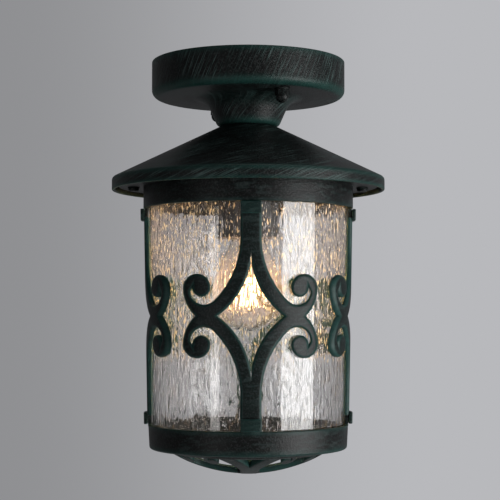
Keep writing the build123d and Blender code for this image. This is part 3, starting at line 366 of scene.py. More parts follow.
@dataclass(frozen=True)
class RainGlass:
    """Clear glass, smooth outside and raised inside in drops, with seeds that scatter the lamp's light
    through a gold tint and stop at a ragged height, painted glints of the lamp.
    """

    name: str = "rain_glass"
    tint: Colour = (0.885, 0.880, 0.876)
    shadow: Colour = (0.95, 0.94, 0.92)
    drop_scale: Triple = (640.0, 640.0, 150.0)
    drop_range: Point = (0.56, 0.72)
    thread_scale: Triple = (1100.0, 1100.0, 110.0)
    thread_range: Point = (0.60, 0.76)
    thread_share: float = 0.4
    seed_scale: Triple = (790.0, 790.0, 230.0)
    seed_range: Point = (0.625, 0.66)
    # Painted glints: the seeds' gold tint and the height below which few of them scatter stand in for the
    # lamp's glints in the drops.
    painted_glint_tint: Colour = (0.96, 0.81, 0.54)
    scatter_and_painted_glint_share: float = 0.90
    lit_end: float = -0.2130
    lit_fade: float = 0.010
    unlit_share: float = 0.15

    def make(self) -> Material:
        """Builds the glass.

        Returns:
            A clear material whose drops bend what is seen through them.
        """
        sheet = FinishSheet(self.name)
        place = sheet.object_place()
        drops = sheet.cloud(sheet.stretched(place, self.drop_scale), scale=1.0, detail=1.5)
        threads = sheet.cloud(sheet.stretched(place, self.thread_scale), scale=1.0, detail=1.0)
        seeds = sheet.cloud(sheet.stretched(place, self.seed_scale), scale=1.0, detail=1.0)
        inner = sheet.stored("relief")
        height = drops.between(*self.drop_range) + threads.between(*self.thread_range) * self.thread_share
        inputs = {
            "Base Color": self.tint,
            "Roughness": 0.02,
            "IOR": 1.48,
            "Transmission Weight": 1.0,
            "Normal": sheet.raised(height * inner, distance=0.0005, strength=0.6),
        }
        clear = sheet.principled(inputs)
        # The seeds scatter the lamp's real light, tinted gold as painted glints, and mostly only above a
        # ragged height, a painted lower edge of the glints.
        through = sheet.node("ShaderNodeBsdfTranslucent", {"Color": self.painted_glint_tint})
        back = sheet.node("ShaderNodeBsdfDiffuse", {"Color": self.painted_glint_tint})
        ragged = sheet.parts(place)[2] + (seeds - 0.5) * self.lit_fade
        lit = ragged.between(self.lit_end - self.lit_fade, self.lit_end + self.lit_fade)
        reached = lit * (1.0 - self.unlit_share) + self.unlit_share
        scatter_and_painted_glints = seeds.between(*self.seed_range) * inner * reached * self.scatter_and_painted_glint_share
        body = sheet.blended(scatter_and_painted_glints, clear, sheet.blended(0.5, through, back))
        return sheet.surface(sheet.clear_in_shadow(body, self.shadow))


@dataclass(frozen=True)
class LampGlass:
    """Clear lamp glass with the filament's light in it."""

    name: str = "lit_lamp_glass"
    tint: Colour = (1.0, 0.99, 0.97)
    shadow: Colour = (1.0, 1.0, 1.0)
    glow: Colour = (1.0, 0.46, 0.15)
    strength: float = 0.11
    reach: float = 0.034

    def make(self) -> Material:
        """Builds the glass.

        Returns:
            A clear material that is brightest level with the filament.
        """
        low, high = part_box("lamp_filament")
        sheet = FinishSheet(self.name)
        height = sheet.parts(sheet.object_place())[2]
        away = (height - (low.z + high.z) / 2).maths("ABSOLUTE")
        lit = 1.0 - away.between(0.0, self.reach)
        inputs = {
            "Base Color": self.tint,
            "Roughness": 0.02,
            "Transmission Weight": 1.0,
            "Emission Color": sheet.mixed(lit, (0.0, 0.0, 0.0), self.glow),
            "Emission Strength": self.strength,
        }
        return sheet.surface(sheet.clear_in_shadow(sheet.principled(inputs), self.shadow))


@dataclass(frozen=True)
class PlainFinish:
    """A small piece's own material, with a little wear in its colour and gloss."""

    name: str
    colour: Colour
    worn: Colour
    roughness: float
    metallic: float = 0.0
    grain: float = 260.0
    glow: float = 0.0
    wear_range: Point = (0.35, 0.7)
    gloss_drift: float = 0.2

    def make(self) -> Material:
        """Builds the finish.

        Returns:
            A material whose colour and roughness drift over the piece.
        """
        sheet = FinishSheet(self.name)
        drift = sheet.cloud(sheet.object_place(), self.grain, detail=3.0)
        inputs = {
            "Base Color": sheet.mixed(drift.between(*self.wear_range), self.colour, self.worn),
            "Roughness": (drift * self.gloss_drift + (self.roughness - self.gloss_drift / 2)).clamp(),
            "Metallic": self.metallic,
            "Normal": sheet.raised(drift, distance=0.0001, strength=0.3),
        }
        if self.glow:
            inputs |= {"Emission Color": self.colour, "Emission Strength": self.glow}
        return sheet.surface(sheet.principled(inputs))


Finish = Union[VerdigrisPaint, LampGlass, PlainFinish]

PAINT_CANOPY = VerdigrisPaint(
    "paint_canopy", BrushStrokes(across=1100.0, along=60.0, slant=0.45, lean=0.0, amount=0.9)
)
PAINT_ROOF = VerdigrisPaint(
    "paint_roof", BrushStrokes(across=60.0, along=1150.0, slant=0.0, lean=0.45, amount=0.95)
)
PAINT_CAGE = VerdigrisPaint(
    "paint_cage",
    BrushStrokes(across=110.0, along=420.0, slant=0.14, lean=0.1, amount=0.22),
    green=(0.0150, 0.0540, 0.0470),
)


# Shaping


@dataclass(frozen=True)
class Corner:
    """A corner of a turned section, with the radius of its rounding and how much green it has caught."""

    radius: float
    height: float
    rounding: float = 0.0
    rub: float = 0.0


def arc(centre: Point, radius: float, start: float, sweep: float, step: float = radians(9)) -> list[Point]:
    """Points on an arc, ends included.

    Args:
        centre: The arc's centre.
        radius: Its radius.
        start: Angle of the first point.
        sweep: Signed angle to the last point.
        step: Largest angle between points.

    Returns:
        The points in order.
    """
    count = max(2, ceil(abs(sweep) / step))
    turns = [start + sweep * index / count for index in range(count + 1)]
    return [(centre[0] + radius * cos(turn), centre[1] + radius * sin(turn)) for turn in turns]


def rounded(corners: Sequence[Corner], longest: float) -> list[Point]:
    """Walks round a closed outline with its corners rounded and long runs cut up.

    Args:
        corners: The outline's corners in order.
        longest: Longest straight run between points.

    Returns:
        The outline's points as radius and height.
    """
    walked: list[Point] = []
    for index, corner in enumerate(corners):
        here = Vector((corner.radius, corner.height))
        before = corners[index - 1]
        after = corners[(index + 1) % len(corners)]
        back = (Vector((before.radius, before.height)) - here).normalized()
        ahead = (Vector((after.radius, after.height)) - here).normalized()
        if not corner.rounding:
            walked.append((here.x, here.y))
            continue
        half = acos(max(-1.0, min(1.0, back.dot(ahead)))) / 2
        centre = here + (back + ahead).normalized() * (corner.rounding / sin(half))
        start = here + back * (corner.rounding / tan(half)) - centre
        end = here + ahead * (corner.rounding / tan(half)) - centre
        sweep = (atan2(end.y, end.x) - atan2(start.y, start.x) + pi) % (2 * pi) - pi
        walked += arc((centre.x, centre.y), corner.rounding, atan2(start.y, start.x), sweep)
    points: list[Point] = []
    for start, end in zip(walked, walked[1:] + walked[:1]):
        count = max(1, ceil(hypot(end[0] - start[0], end[1] - start[1]) / longest))
        points += [
            (start[0] + (end[0] - start[0]) * part / count, start[1] + (end[1] - start[1]) * part / count)
            for part in range(count)
        ]
    return points


def stored_mesh(name: str, mesh: BMesh) -> Mesh:
    """Ends an edited mesh as stored mesh data."""
    data = bpy.data.meshes.new(name)
    mesh.to_mesh(data)
    mesh.free()
    return data


def placed(name: str, data: Any) -> Object:
    """Puts a new object in the scene."""
    made = bpy.data.objects.new(name, data)
    bpy.context.scene.collection.objects.link(made)
    return made


@dataclass
class Casting:
    """A mesh that is being shaped and then put on its body."""

    name: str
    mesh: BMesh = field(default_factory=bmesh.new)

    def outline(self, points: Sequence[Triple]) -> list[BMEdge]:
        """Adds a closed loop of edges through points."""
        verts = [self.mesh.verts.new(point) for point in points]
        return [self.mesh.edges.new(pair) for pair in zip(verts, verts[1:] + verts[:1])]

    def turn(self, points: Sequence[Point], steps: int) -> None:
        """Turns a closed outline of radius and height about the lantern's axis."""
        loop = self.outline([(radius, 0.0, height) for radius, height in points])
        verts = {vert for edge in loop for vert in edge.verts}
        bmesh.ops.spin(
            self.mesh, geom=[*verts, *loop], axis=(0, 0, 1), angle=2 * pi, steps=steps, use_merge=True
        )

    def block(self, low: Sequence[float], high: Sequence[float], edge: float) -> None:
        """Adds a box between two corners with its edges rounded."""
        size = [top - bottom for bottom, top in zip(low, high)]
        middle = [(top + bottom) / 2 for bottom, top in zip(low, high)]
        matrix = Matrix.Translation(middle) @ Matrix.Diagonal((*size, 1.0))
        made = bmesh.ops.create_cube(self.mesh, size=1.0, matrix=matrix)
        edges = {line for vert in made["verts"] for line in vert.link_edges}
        self.soften(edges, edge, segments=2)

    def soften(self, edges: Any, width: float, segments: int) -> None:
        """Rounds edges over."""
        bmesh.ops.bevel(
            self.mesh, geom=list(edges), offset=width, segments=segments, profile=0.5, affect="EDGES",
            material=-1,
        )

    def everything(self) -> list[Union[BMVert, BMEdge, BMFace]]:
        """All of the mesh."""
        return [*self.mesh.verts, *self.mesh.edges, *self.mesh.faces]

    def merge(self) -> None:
        """Joins points that lie together."""
        bmesh.ops.remove_doubles(self.mesh, verts=self.mesh.verts, dist=SAME_POINT)

    def slice(self, normal: Vector, low: float, high: float, step: float) -> None:
        """Cuts the mesh into slabs so that it can be bent smoothly."""
        for index in range(ceil((high - low) / step) + 1):
            at = normal * (low + index * step)
            bmesh.ops.bisect_plane(
                self.mesh, geom=self.everything(), dist=SAME_PLANE, plane_co=at, plane_no=normal
            )

    def slice_plate(self, bottom: float, top: float, step: float) -> None:
        """Cuts a flat plate into slabs across and along."""
        reach = max(abs(vert.co.x) for vert in self.mesh.verts) - step / 2
        self.slice(Vector((1, 0, 0)), -reach, reach, step)
        self.slice(Vector((0, 0, 1)), bottom + step, top - step, step)

    def mark(self, name: str, amount: Callable[[Vector], float]) -> None:
        """Stores a value for each point, which the finish reads by its name."""
        layer = self.mesh.verts.layers.float.new(name)
        for vert in self.mesh.verts:
            vert[layer] = amount(vert.co)

    def mark_corners(self, corners: Sequence[Corner], reach: float) -> None:
        """Stores the green that each point has caught from the corners near it.

        Args:
            corners: The section's corners.
            reach: How far the green spreads.
        """
        caught = [corner for corner in corners if corner.rub]

        def amount(place: Vector) -> float:
            """The most that any corner leaves at a place."""
            radius = hypot(place.x, place.y)
            green = 0.0
            for corner in caught:
                away = hypot(radius - corner.radius, place.z - corner.height) - corner.rounding / 2
                green = max(green, corner.rub * exp(-((max(0.0, away) / reach) ** 2)))
            return green

        self.mark("rub", amount)

    def bend(self, place: Callable[[Vector], Vector]) -> None:
        """Moves every point to its place."""
        for vert in self.mesh.verts:
            vert.co = place(vert.co)

    def put(self, material: Material, body: Body, slot: Slot, node: str) -> None:
        """Ends the mesh as a piece.

        Args:
            material: Its finish.
            body: The body that it rides on.
            slot: The record's material slot; not used.
            node: The CAD node that it stands for.
        """
        self.merge()
        bmesh.ops.recalc_face_normals(self.mesh, faces=self.mesh.faces)
        for face in self.mesh.faces:
            face.smooth = True
        for edge in self.mesh.edges:
            edge.smooth = len(edge.link_faces) == 2 and edge.calc_face_angle(0.0) < SHARP_EDGE
        data = stored_mesh(self.name, self.mesh)
        data.materials.append(material)
        piece = placed(self.name, data)
        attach(piece, body.value)
        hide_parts(node)
        LOG.info("%s: %d faces", self.name, len(data.polygons))


# Turned castings


@dataclass
class Canopy:
    """Cup against the ceiling with a flared neck under it."""

    wall: float = 2.5 * MM
    height: float = 26.5 * MM
    edge: float = 5.5 * MM
    neck_top: float = 31.7 * MM
    neck_flare: float = 14.0 * MM
    neck_foot: float = 22.6 * MM
    foot_edge: float = 4.0 * MM
    floor: float = 4.0 * MM
    bore: float = 5.3 * MM
    rim_edge: float = 0.8 * MM
    rub_reach: float = 2.6 * MM

    def corners(self) -> list[Corner]:
        """The section from the outer rim round to the inner rim."""
        low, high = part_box("canopy")
        radius = high.x
        under = -self.height
        run = self.wall * hypot(self.neck_top - self.neck_foot, under - low.z) / (under - low.z)
        inside = radius - self.wall
        return [
            Corner(radius, 0.0, self.rim_edge, rub=0.75),
            Corner(radius, under, self.edge, rub=0.95),
            Corner(self.neck_top, under, self.neck_flare, rub=0.15),
            Corner(self.neck_foot, low.z, self.foot_edge, rub=0.9),
            Corner(self.bore, low.z),
            Corner(self.bore, low.z + self.floor),
            Corner(self.neck_foot - run, low.z + self.floor),
            Corner(self.neck_top - run, under + self.wall, self.neck_flare + self.wall),
            Corner(inside, under + self.wall, self.edge - self.wall),
            Corner(inside, 0.0),
        ]

    def build(self) -> None:
        """Makes the canopy."""
        corners = self.corners()
        casting = Casting("canopy_casting")
        casting.turn(rounded(corners, longest=2.0 * MM), steps=192)
        casting.mark_corners(corners, self.rub_reach)
        casting.put(PAINT_CANOPY.make(), Body.FIXTURE, Slot.PAINT, "canopy")


@dataclass
class Roof:
    """Conical shell with a short upright rim and two screw bosses."""

    top_radius: float = 20.0 * MM
    rim: float = 8.7 * MM
    wall: float = 2.4 * MM
    plate: float = 3.5 * MM
    shoulder: float = 2.5 * MM
    lip: float = 0.8 * MM
    bore: float = 5.3 * MM
    boss_radius: float = 4.5 * MM
    boss_place: float = 84.2 * MM
    boss_rise: float = 5.3 * MM
    boss_height: float = 9.0 * MM
    rub_reach: float = 1.1 * MM

    def corners(self) -> list[Corner]:
        """The section from the top plate round the rim and back inside."""
        low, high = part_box("roof")
        radius = high.x
        shoulder_z = low.z + self.rim
        slope = (high.z - shoulder_z) / (radius - self.top_radius)
        drop = self.wall * hypot(1.0, slope)
        inside = radius - self.wall
        return [
            Corner(self.bore, high.z),
            Corner(self.top_radius, high.z),
            Corner(radius, shoulder_z, self.shoulder, rub=0.7),
            Corner(radius, low.z, self.lip, rub=0.8),
            Corner(inside, low.z, self.lip, rub=0.3),
            Corner(inside, shoulder_z + self.wall * slope - drop, self.lip),
            Corner(self.top_radius + (self.plate - drop) / slope, high.z - self.plate),
            Corner(self.bore, high.z - self.plate),
        ]

    def build(self) -> None:
        """Makes the roof."""
        corners = self.corners()
        casting = Casting("roof_casting")
        casting.turn(rounded(corners, longest=3.0 * MM), steps=216)
        boss_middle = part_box("roof")[0].z + self.boss_rise + self.boss_height / 2
        for side in (-1, 1):
            bmesh.ops.create_cone(
                casting.mesh, cap_ends=True, segments=32, depth=self.boss_height,
                radius1=self.boss_radius, radius2=self.boss_radius,
                matrix=Matrix.Translation((side * self.boss_place, 0, boss_middle)),
            )
        casting.mark_corners(corners, self.rub_reach)
        casting.put(PAINT_ROOF.make(), Body.FIXTURE, Slot.PAINT, "roof")


@dataclass
class CageRings:
    """Collar above the glass and ring below it, with the lugs that hold the straps."""

    collar_radius: float = 76.9 * MM
    collar_wall: float = 2.6 * MM
    flange: float = 2.5 * MM
    mouth: float = 67.0 * MM
    collar_drop: float = 16.0 * MM
    ring_height: float = 17.5 * MM
    edge: float = 0.8 * MM
    ring_wall: float = 2.2 * MM
    ring_bottom_radius: float = 71.9 * MM
    ring_top_radius: float = 72.8 * MM
    ring_edge: float = 2.0 * MM
    ring_floor: float = 3.0 * MM
    ring_mouth: float = 58.5 * MM
    lug_width: float = 12.0 * MM
    lug_thickness: float = 2.4 * MM
    upper_lug_radius: float = 76.1 * MM
    lower_lug_radius: float = 73.0 * MM
    lug_overlap: float = 1.5 * MM
    collar_rub_reach: float = 1.2 * MM
    ring_rub_reach: float = 1.6 * MM

    def lugs(self, casting: Casting, outer: float, low: float, high: float) -> None:
        """Adds the four tabs that the straps are screwed to."""
        half = self.lug_width / 2
        near = sqrt(outer**2 - half**2)
        for side in Side:
            made = len(casting.mesh.verts)
            casting.block((-half, -near, low), (half, -near + self.lug_thickness, high), edge=0.4 * MM)
            casting.mesh.verts.ensure_lookup_table()
            bmesh.ops.rotate(
                casting.mesh, verts=casting.mesh.verts[made:], cent=(0, 0, 0), matrix=side.turn()
            )

    def collar(self, paint: Material) -> None:
        """Makes the collar."""
        low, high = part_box("collar")
        under = high.z - self.flange
        cage_top = under - self.collar_drop
        inside = self.collar_radius - self.collar_wall
        corners = [
            Corner(self.mouth, high.z),
            Corner(high.x, high.z),
            Corner(high.x, under),
            Corner(self.collar_radius, under),
            Corner(self.collar_radius, cage_top, self.edge, rub=0.25),
            Corner(inside, cage_top),
            Corner(inside, under),
            Corner(self.mouth, under),
        ]
        casting = Casting("collar_casting")
        casting.turn(rounded(corners, longest=3.0 * MM), steps=192)
        self.lugs(casting, self.upper_lug_radius, low.z, cage_top + self.lug_overlap)
        casting.mark_corners(corners, self.collar_rub_reach)
        casting.put(paint, Body.CAGE, Slot.PAINT, "collar")

    def bottom_ring(self, paint: Material) -> None:
        """Makes the bottom ring."""
        low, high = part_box("bottom_ring")
        ledge = low.z + self.ring_floor
        cage_bottom = low.z + self.ring_height
        corners = [
            Corner(self.ring_top_radius, cage_bottom, self.edge, rub=0.45),
            Corner(self.ring_bottom_radius, low.z, self.ring_edge, rub=0.55),
            Corner(self.ring_mouth, low.z),
            Corner(self.ring_mouth, ledge),
            Corner(self.ring_bottom_radius - self.ring_wall, ledge),
            Corner(self.ring_top_radius - self.ring_wall, cage_bottom),
        ]
        casting = Casting("bottom_ring_casting")
        casting.turn(rounded(corners, longest=3.0 * MM), steps=192)
        self.lugs(casting, self.lower_lug_radius, cage_bottom - self.lug_overlap, high.z)
        casting.mark_corners(corners, self.ring_rub_reach)
        casting.put(paint, Body.CAGE, Slot.PAINT, "bottom_ring")

    def build(self) -> None:
        """Makes both in one paint."""
        paint = PAINT_CAGE.make()
        self.collar(paint)
        self.bottom_ring(paint)


# Scrollwork


@dataclass(frozen=True)
class Scroll:
    """One quarter of a scroll, measured from the middle of the gap between the arms.

    A half stem leaves sideways as an arm, runs round a throat and curls back into an eye. The arcs of the
    flare, throat, eye, crown and outside are tangent to each other.
    """

    stem_half: float
    stem_end: float
    flare_start: float
    crotch: float
    heart_half: float
    heart_bow: float
    throat_x: float
    throat_y: float
    throat_radius: float
    slit: float
    eye_radius: float
    eye_height: float
    crown_radius: float
    waist_outer: float
    crease_half: float
    crease: float

    def outline(self) -> list[Point]:
        """Walks round the quarter.

        Returns:
            Points outwards from the stem and up along it.
        """
        over = self.stem_half - self.throat_x
        up = self.flare_start - self.throat_y
        flare = (self.throat_radius**2 - over**2 - up**2) / (2 * (over + self.throat_radius))
        flare_centre = (self.stem_half + flare, self.flare_start)
        leave = atan2(self.throat_y - self.flare_start, self.throat_x - flare_centre[0])
        throat_end = self.throat_x + self.throat_radius
        eye_x = throat_end - self.slit - self.eye_radius
        eye_inner = eye_x - self.eye_radius
        crown_x = eye_inner + self.crown_radius
        crown_end = crown_x + self.crown_radius
        inset = crown_end - self.waist_outer
        outside = (inset**2 + self.eye_height**2) / (2 * inset)
        chord = Vector((self.crease_half - self.heart_half, self.crotch))
        half_chord = chord.length / 2
        heart = (half_chord**2 + self.heart_bow**2) / (2 * self.heart_bow)
        sideways = Vector((chord.y, -chord.x)).normalized()
        middle = Vector((self.heart_half, 0.0)) + chord / 2
        heart_centre = middle + sideways * (heart - self.heart_bow)
        first = Vector((self.heart_half, 0.0)) - heart_centre
        start, turn = atan2(first.y, first.x), 2 * asin(half_chord / heart)
        walk = [(0.0, self.stem_end), (self.stem_half, self.stem_end)]
        walk += arc(flare_centre, flare, -pi, leave + pi, step=radians(4))
        walk += arc((self.throat_x, self.throat_y), self.throat_radius, leave, -leave)[1:]
        walk += arc((eye_x, self.eye_height), self.eye_radius, 0.0, -pi)
        walk += arc((crown_x, self.eye_height), self.crown_radius, pi, -pi)[1:]
        waist_turn = asin(self.eye_height / outside)
        walk += arc((crown_end - outside, self.eye_height), outside, 0.0, -waist_turn)[1:]
        walk += arc((heart_centre.x, heart_centre.y), heart, start, -turn, step=radians(4))
        walk.append((0.0, self.crotch + self.crease))
        return walk

    def plate(self, casting: Casting, thickness: float, edge: float, both_ends: bool) -> None:
        """Makes a flat plate of the scroll, mirrored, with its front edges rounded over.

        Args:
            casting: The mesh to build in, with X across, Y into the plate and Z along the stem.
            thickness: The plate's thickness.
            edge: Width of the rounded edge.
            both_ends: Mirrors the scroll about its waist too.
        """
        mesh = casting.mesh
        loop = casting.outline([(across, 0.0, along) for across, along in self.outline()])
        mesh.faces.new([line.verts[0] for line in loop])
        for axis in ("X", "Z") if both_ends else ("X",):
            bmesh.ops.mirror(
                mesh, geom=casting.everything(), matrix=Matrix.Identity(4), merge_dist=SAME_POINT, axis=axis
            )
        casting.merge()
        made = bmesh.ops.extrude_face_region(mesh, geom=mesh.faces[:], use_keep_orig=True)
        moved = [part for part in made["geom"] if isinstance(part, BMVert)]
        bmesh.ops.translate(mesh, verts=moved, vec=(0.0, thickness, 0.0))
        bmesh.ops.recalc_face_normals(mesh, faces=mesh.faces)

        def in_front(face: BMFace) -> bool:
            """Tells whether a face is on the front."""
            return all(abs(vert.co.y) < SAME_PLANE for vert in face.verts)

        def in_crease(line: BMEdge) -> bool:
            """Tells whether an edge is in the narrow crease."""
            return all(abs(vert.co.x) < self.crease_half + SAME_POINT for vert in line.verts)

        rim = [line for line in mesh.edges if sum(in_front(face) for face in line.link_faces) == 1]
        casting.soften([line for line in rim if not in_crease(line)], edge, segments=4)


STRAP_SCROLL = Scroll(
    stem_half=7.25 * MM, stem_end=72.1 * MM, flare_start=54.0 * MM, crotch=35.3 * MM,
    heart_half=22.6 * MM, heart_bow=4.0 * MM, throat_x=32.0 * MM, throat_y=17.2 * MM,
    throat_radius=9.4 * MM, slit=1.3 * MM, eye_radius=6.3 * MM, eye_height=19.5 * MM,
    crown_radius=9.6 * MM, waist_outer=38.2 * MM, crease_half=0.35 * MM, crease=9.0 * MM,
)

GRILLE_SCROLL = Scroll(
    stem_half=6.2 * MM, stem_end=57.0 * MM, flare_start=30.0 * MM, crotch=15.9 * MM,
    heart_half=15.0 * MM, heart_bow=1.5 * MM, throat_x=23.8 * MM, throat_y=12.6 * MM,
    throat_radius=5.8 * MM, slit=1.0 * MM, eye_radius=3.6 * MM, eye_height=13.8 * MM,
    crown_radius=5.6 * MM, waist_outer=26.0 * MM, crease_half=0.3 * MM, crease=3.0 * MM,
)


@dataclass(frozen=True)
class PlateRub:
    """Green on a plate: some on its face, most on its edges and less towards its back."""

    face: float
    edge: float
    fade: float
    fade_start: float

    def at(self, depth: float, edge: float, thickness: float) -> float:
        """The green at a depth under the plate's face."""
        behind = max(0.0, depth / thickness - self.fade_start)
        return self.face + self.edge * min(1.0, depth / edge) - self.fade * behind


@dataclass
class Straps:
    """Four scroll straps bent to the tapered cage, each with a pad at both ends."""

    top_radius: float = 76.6 * MM
    bottom_radius: float = 73.5 * MM
    thickness: float = 3.0 * MM
    edge: float = 2.0 * MM
    pad_height: float = 8.6 * MM
    pad_proud: float = 2.5 * MM
    pad_edge: float = 0.7 * MM
    pad_seat: float = 0.3 * MM
    joint_gap: float = 0.2 * MM
    slab: float = 3.0 * MM
    # The green on the rounded edges and the pads is green wear and partly a painted highlight: the pad
    # faces and the middle of their rounded edges are greener where the proud pads catch the light.
    plate_rub: PlateRub = PlateRub(face=0.10, edge=0.80, fade=0.35, fade_start=0.6)
    edge_share: float = 0.1
    pad_face_green_and_light: float = 0.35
    pad_edge_green_and_highlight: float = 0.95
    pad_side_rub: float = 0.25
    pad_edge_share: float = 0.6

    def rub(self, place: Vector) -> float:
        """Green caught on the flat strap: most on its rounded edges and round the pads, partly green wear
        and partly a painted highlight where the edges and the proud pads catch the light.
        """
        if place.y >= -SAME_PLANE:
            return self.plate_rub.at(place.y, self.edge_share * self.edge, self.thickness)
        depth = place.y + self.pad_proud
        if depth < SAME_POINT:
            return self.pad_face_green_and_light
        return self.pad_edge_green_and_highlight if depth < self.pad_edge_share * self.pad_edge else self.pad_side_rub

    def build(self) -> None:
        """Makes the four straps."""
        paint = PAINT_CAGE.make()
        low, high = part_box("strap_front")
        middle = (high.z + low.z) / 2
        pad_end = (high.z - low.z) / 2
        pad_start = pad_end - self.pad_height
        half = pad_end + self.joint_gap
        wide = STRAP_SCROLL.stem_half
        for side in Side:
            node = f"strap_{side.name.lower()}"
            casting = Casting(f"{node}_casting")
            STRAP_SCROLL.plate(casting, self.thickness, self.edge, both_ends=True)
            for bottom, top in ((-pad_end, -pad_start), (pad_start, pad_end)):
                casting.block((-wide, -self.pad_proud, bottom), (wide, self.pad_seat, top), self.pad_edge)
            casting.slice_plate(-half, half, self.slab)
            # The stored rub is green wear with a painted highlight on the strap's edges and pads.
            casting.mark("rub", self.rub)
            turn = side.turn()

            def bent(place: Vector) -> Vector:
                """A flat place on the tapered cage."""
                fall = (half - place.z) / (2 * half)
                out = self.top_radius + (self.bottom_radius - self.top_radius) * fall - place.y
                return turn @ Vector((place.x, -sqrt(out**2 - place.x**2), middle + place.z))

            casting.bend(bent)
            casting.put(paint, Body.CAGE, Slot.PAINT, node)


@dataclass
class Grille:
    """Dome of four scroll stems that meet at a boss, with a rim in the bottom ring."""

    ball: float = 110.02 * MM
    wall: float = 4.0 * MM
    radius: float = 58.0 * MM
    rim: float = 3.5 * MM
    flange: float = 2.2 * MM
    rim_rise: float = 1.7 * MM
    rim_edge: float = 1.2 * MM
    rim_inner_edge: float = 0.8 * MM
    boss: float = 10.0 * MM
    boss_dish: float = 0.45 * MM
    boss_edge: float = 0.9 * MM
    boss_pip: float = 0.4 * MM
    edge: float = 0.9 * MM
    sink: float = 0.05 * MM
    slab: float = 3.0 * MM
    plate_rub: PlateRub = PlateRub(face=0.15, edge=0.7, fade=0.6, fade_start=0.3)

    def build(self) -> None:
        """Makes the grille."""
        low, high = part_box("bottom_grille")
        centre = low.z + self.ball
        rim_end = self.radius - self.rim / 2
        casting = Casting("bottom_grille_casting")
        for side in Side:
            motif = Casting("motif")
            GRILLE_SCROLL.plate(motif, self.wall, self.edge, both_ends=False)
            motif.slice_plate(0.0, GRILLE_SCROLL.stem_end, self.slab)
            motif.mark("rub", lambda place: self.plate_rub.at(place.y, self.edge, self.wall))
            turn = side.turn()

            def domed(place: Vector) -> Vector:
                """A flat place on the dome."""
                plan = Vector((place.x, place.z - self.radius))
                if plan.length > rim_end:
                    plan *= rim_end / plan.length
                deep = self.ball - place.y - self.sink
                return turn @ Vector((plan.x, plan.y, centre - sqrt(deep**2 - plan.length_squared)))

            motif.bend(domed)
            held = stored_mesh(motif.name, motif.mesh)
            casting.mesh.from_mesh(held)
            bpy.data.meshes.remove(held)
        edge_z = centre - sqrt(self.ball**2 - self.radius**2)
        rim = [
            Corner(self.radius, edge_z, self.rim_edge),
            Corner(self.radius - self.rim, edge_z - self.rim_rise, self.rim_inner_edge),
            Corner(self.radius - self.rim, high.z),
            Corner(high.x, high.z),
            Corner(high.x, high.z - self.flange),
            Corner(self.radius, high.z - self.flange),
        ]
        casting.turn(rounded(rim, longest=3.0 * MM), steps=160)
        boss = [
            Corner(self.boss_pip, low.z),
            Corner(self.boss, low.z + self.boss_dish, self.boss_edge),
            Corner(self.boss, low.z + self.wall),
            Corner(self.boss_pip, low.z + self.wall),
        ]
        casting.turn(rounded(boss, longest=2.0 * MM), steps=48)
        casting.put(PAINT_CAGE.make(), Body.CAGE, Slot.PAINT, "bottom_grille")


# Glass and lamp


@dataclass
class RainTube:
    """Tapered glass tube, smooth outside and raised inside in long drops."""

    wall: float = 3.0 * MM
    taper: float = 3.1 / 157.0
    steps: int = 600
    row: float = 1.7 * MM
    outer_row: float = 8.0 * MM
    depth: float = 0.30 * MM
    plain_end: float = 3.0 * MM
    drop_width: float = 2.0 * MM
    drop_length: float = 12.0 * MM
    drop_start: float = 0.22
    drop_gain: float = 3.0

    def build(self) -> None:
        """Makes the glass."""
        low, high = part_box("glass")
        height = high.z - low.z
        rows = ceil(height / self.row)
        outer_rows = ceil(height / self.outer_row)

        def outside(level: float) -> float:
            """The outer radius at a height."""
            return high.x - self.taper * (high.z - level)

        def is_inner(place: Vector) -> bool:
            """Tells whether a place is on the inside."""
            return outside(place.z) - hypot(place.x, place.y) > self.wall / 2

        def dropped(place: Vector) -> Vector:
            """A place on the inside, lowered between the drops."""
            end = min(high.z - place.z, place.z - low.z) / self.plain_end
            if end <= 0.0 or not is_inner(place):
                return place
            width, length = self.drop_width, self.drop_length
            seed = Vector((place.x / width, place.y / width, place.z / length))
            raised = min(1.0, max(0.0, self.drop_gain * (noise.noise(seed) - self.drop_start)))
            radius = outside(place.z) - self.wall + self.depth * (1.0 - raised) * min(1.0, end)
            share = radius / hypot(place.x, place.y)
            return Vector((place.x * share, place.y * share, place.z))

        down = [high.z - height * row / outer_rows for row in range(outer_rows + 1)]
        up = [low.z + height * row / rows for row in range(rows + 1)]
        section = [(outside(level), level) for level in down]
        section += [(outside(level) - self.wall, level) for level in up]
        casting = Casting("rain_glass_tube")
        casting.turn(section, self.steps)
        casting.mark("relief", lambda place: float(is_inner(place)))
        casting.bend(dropped)
        casting.put(RainGlass().make(), Body.CAGE, Slot.RAIN_GLASS, "glass")


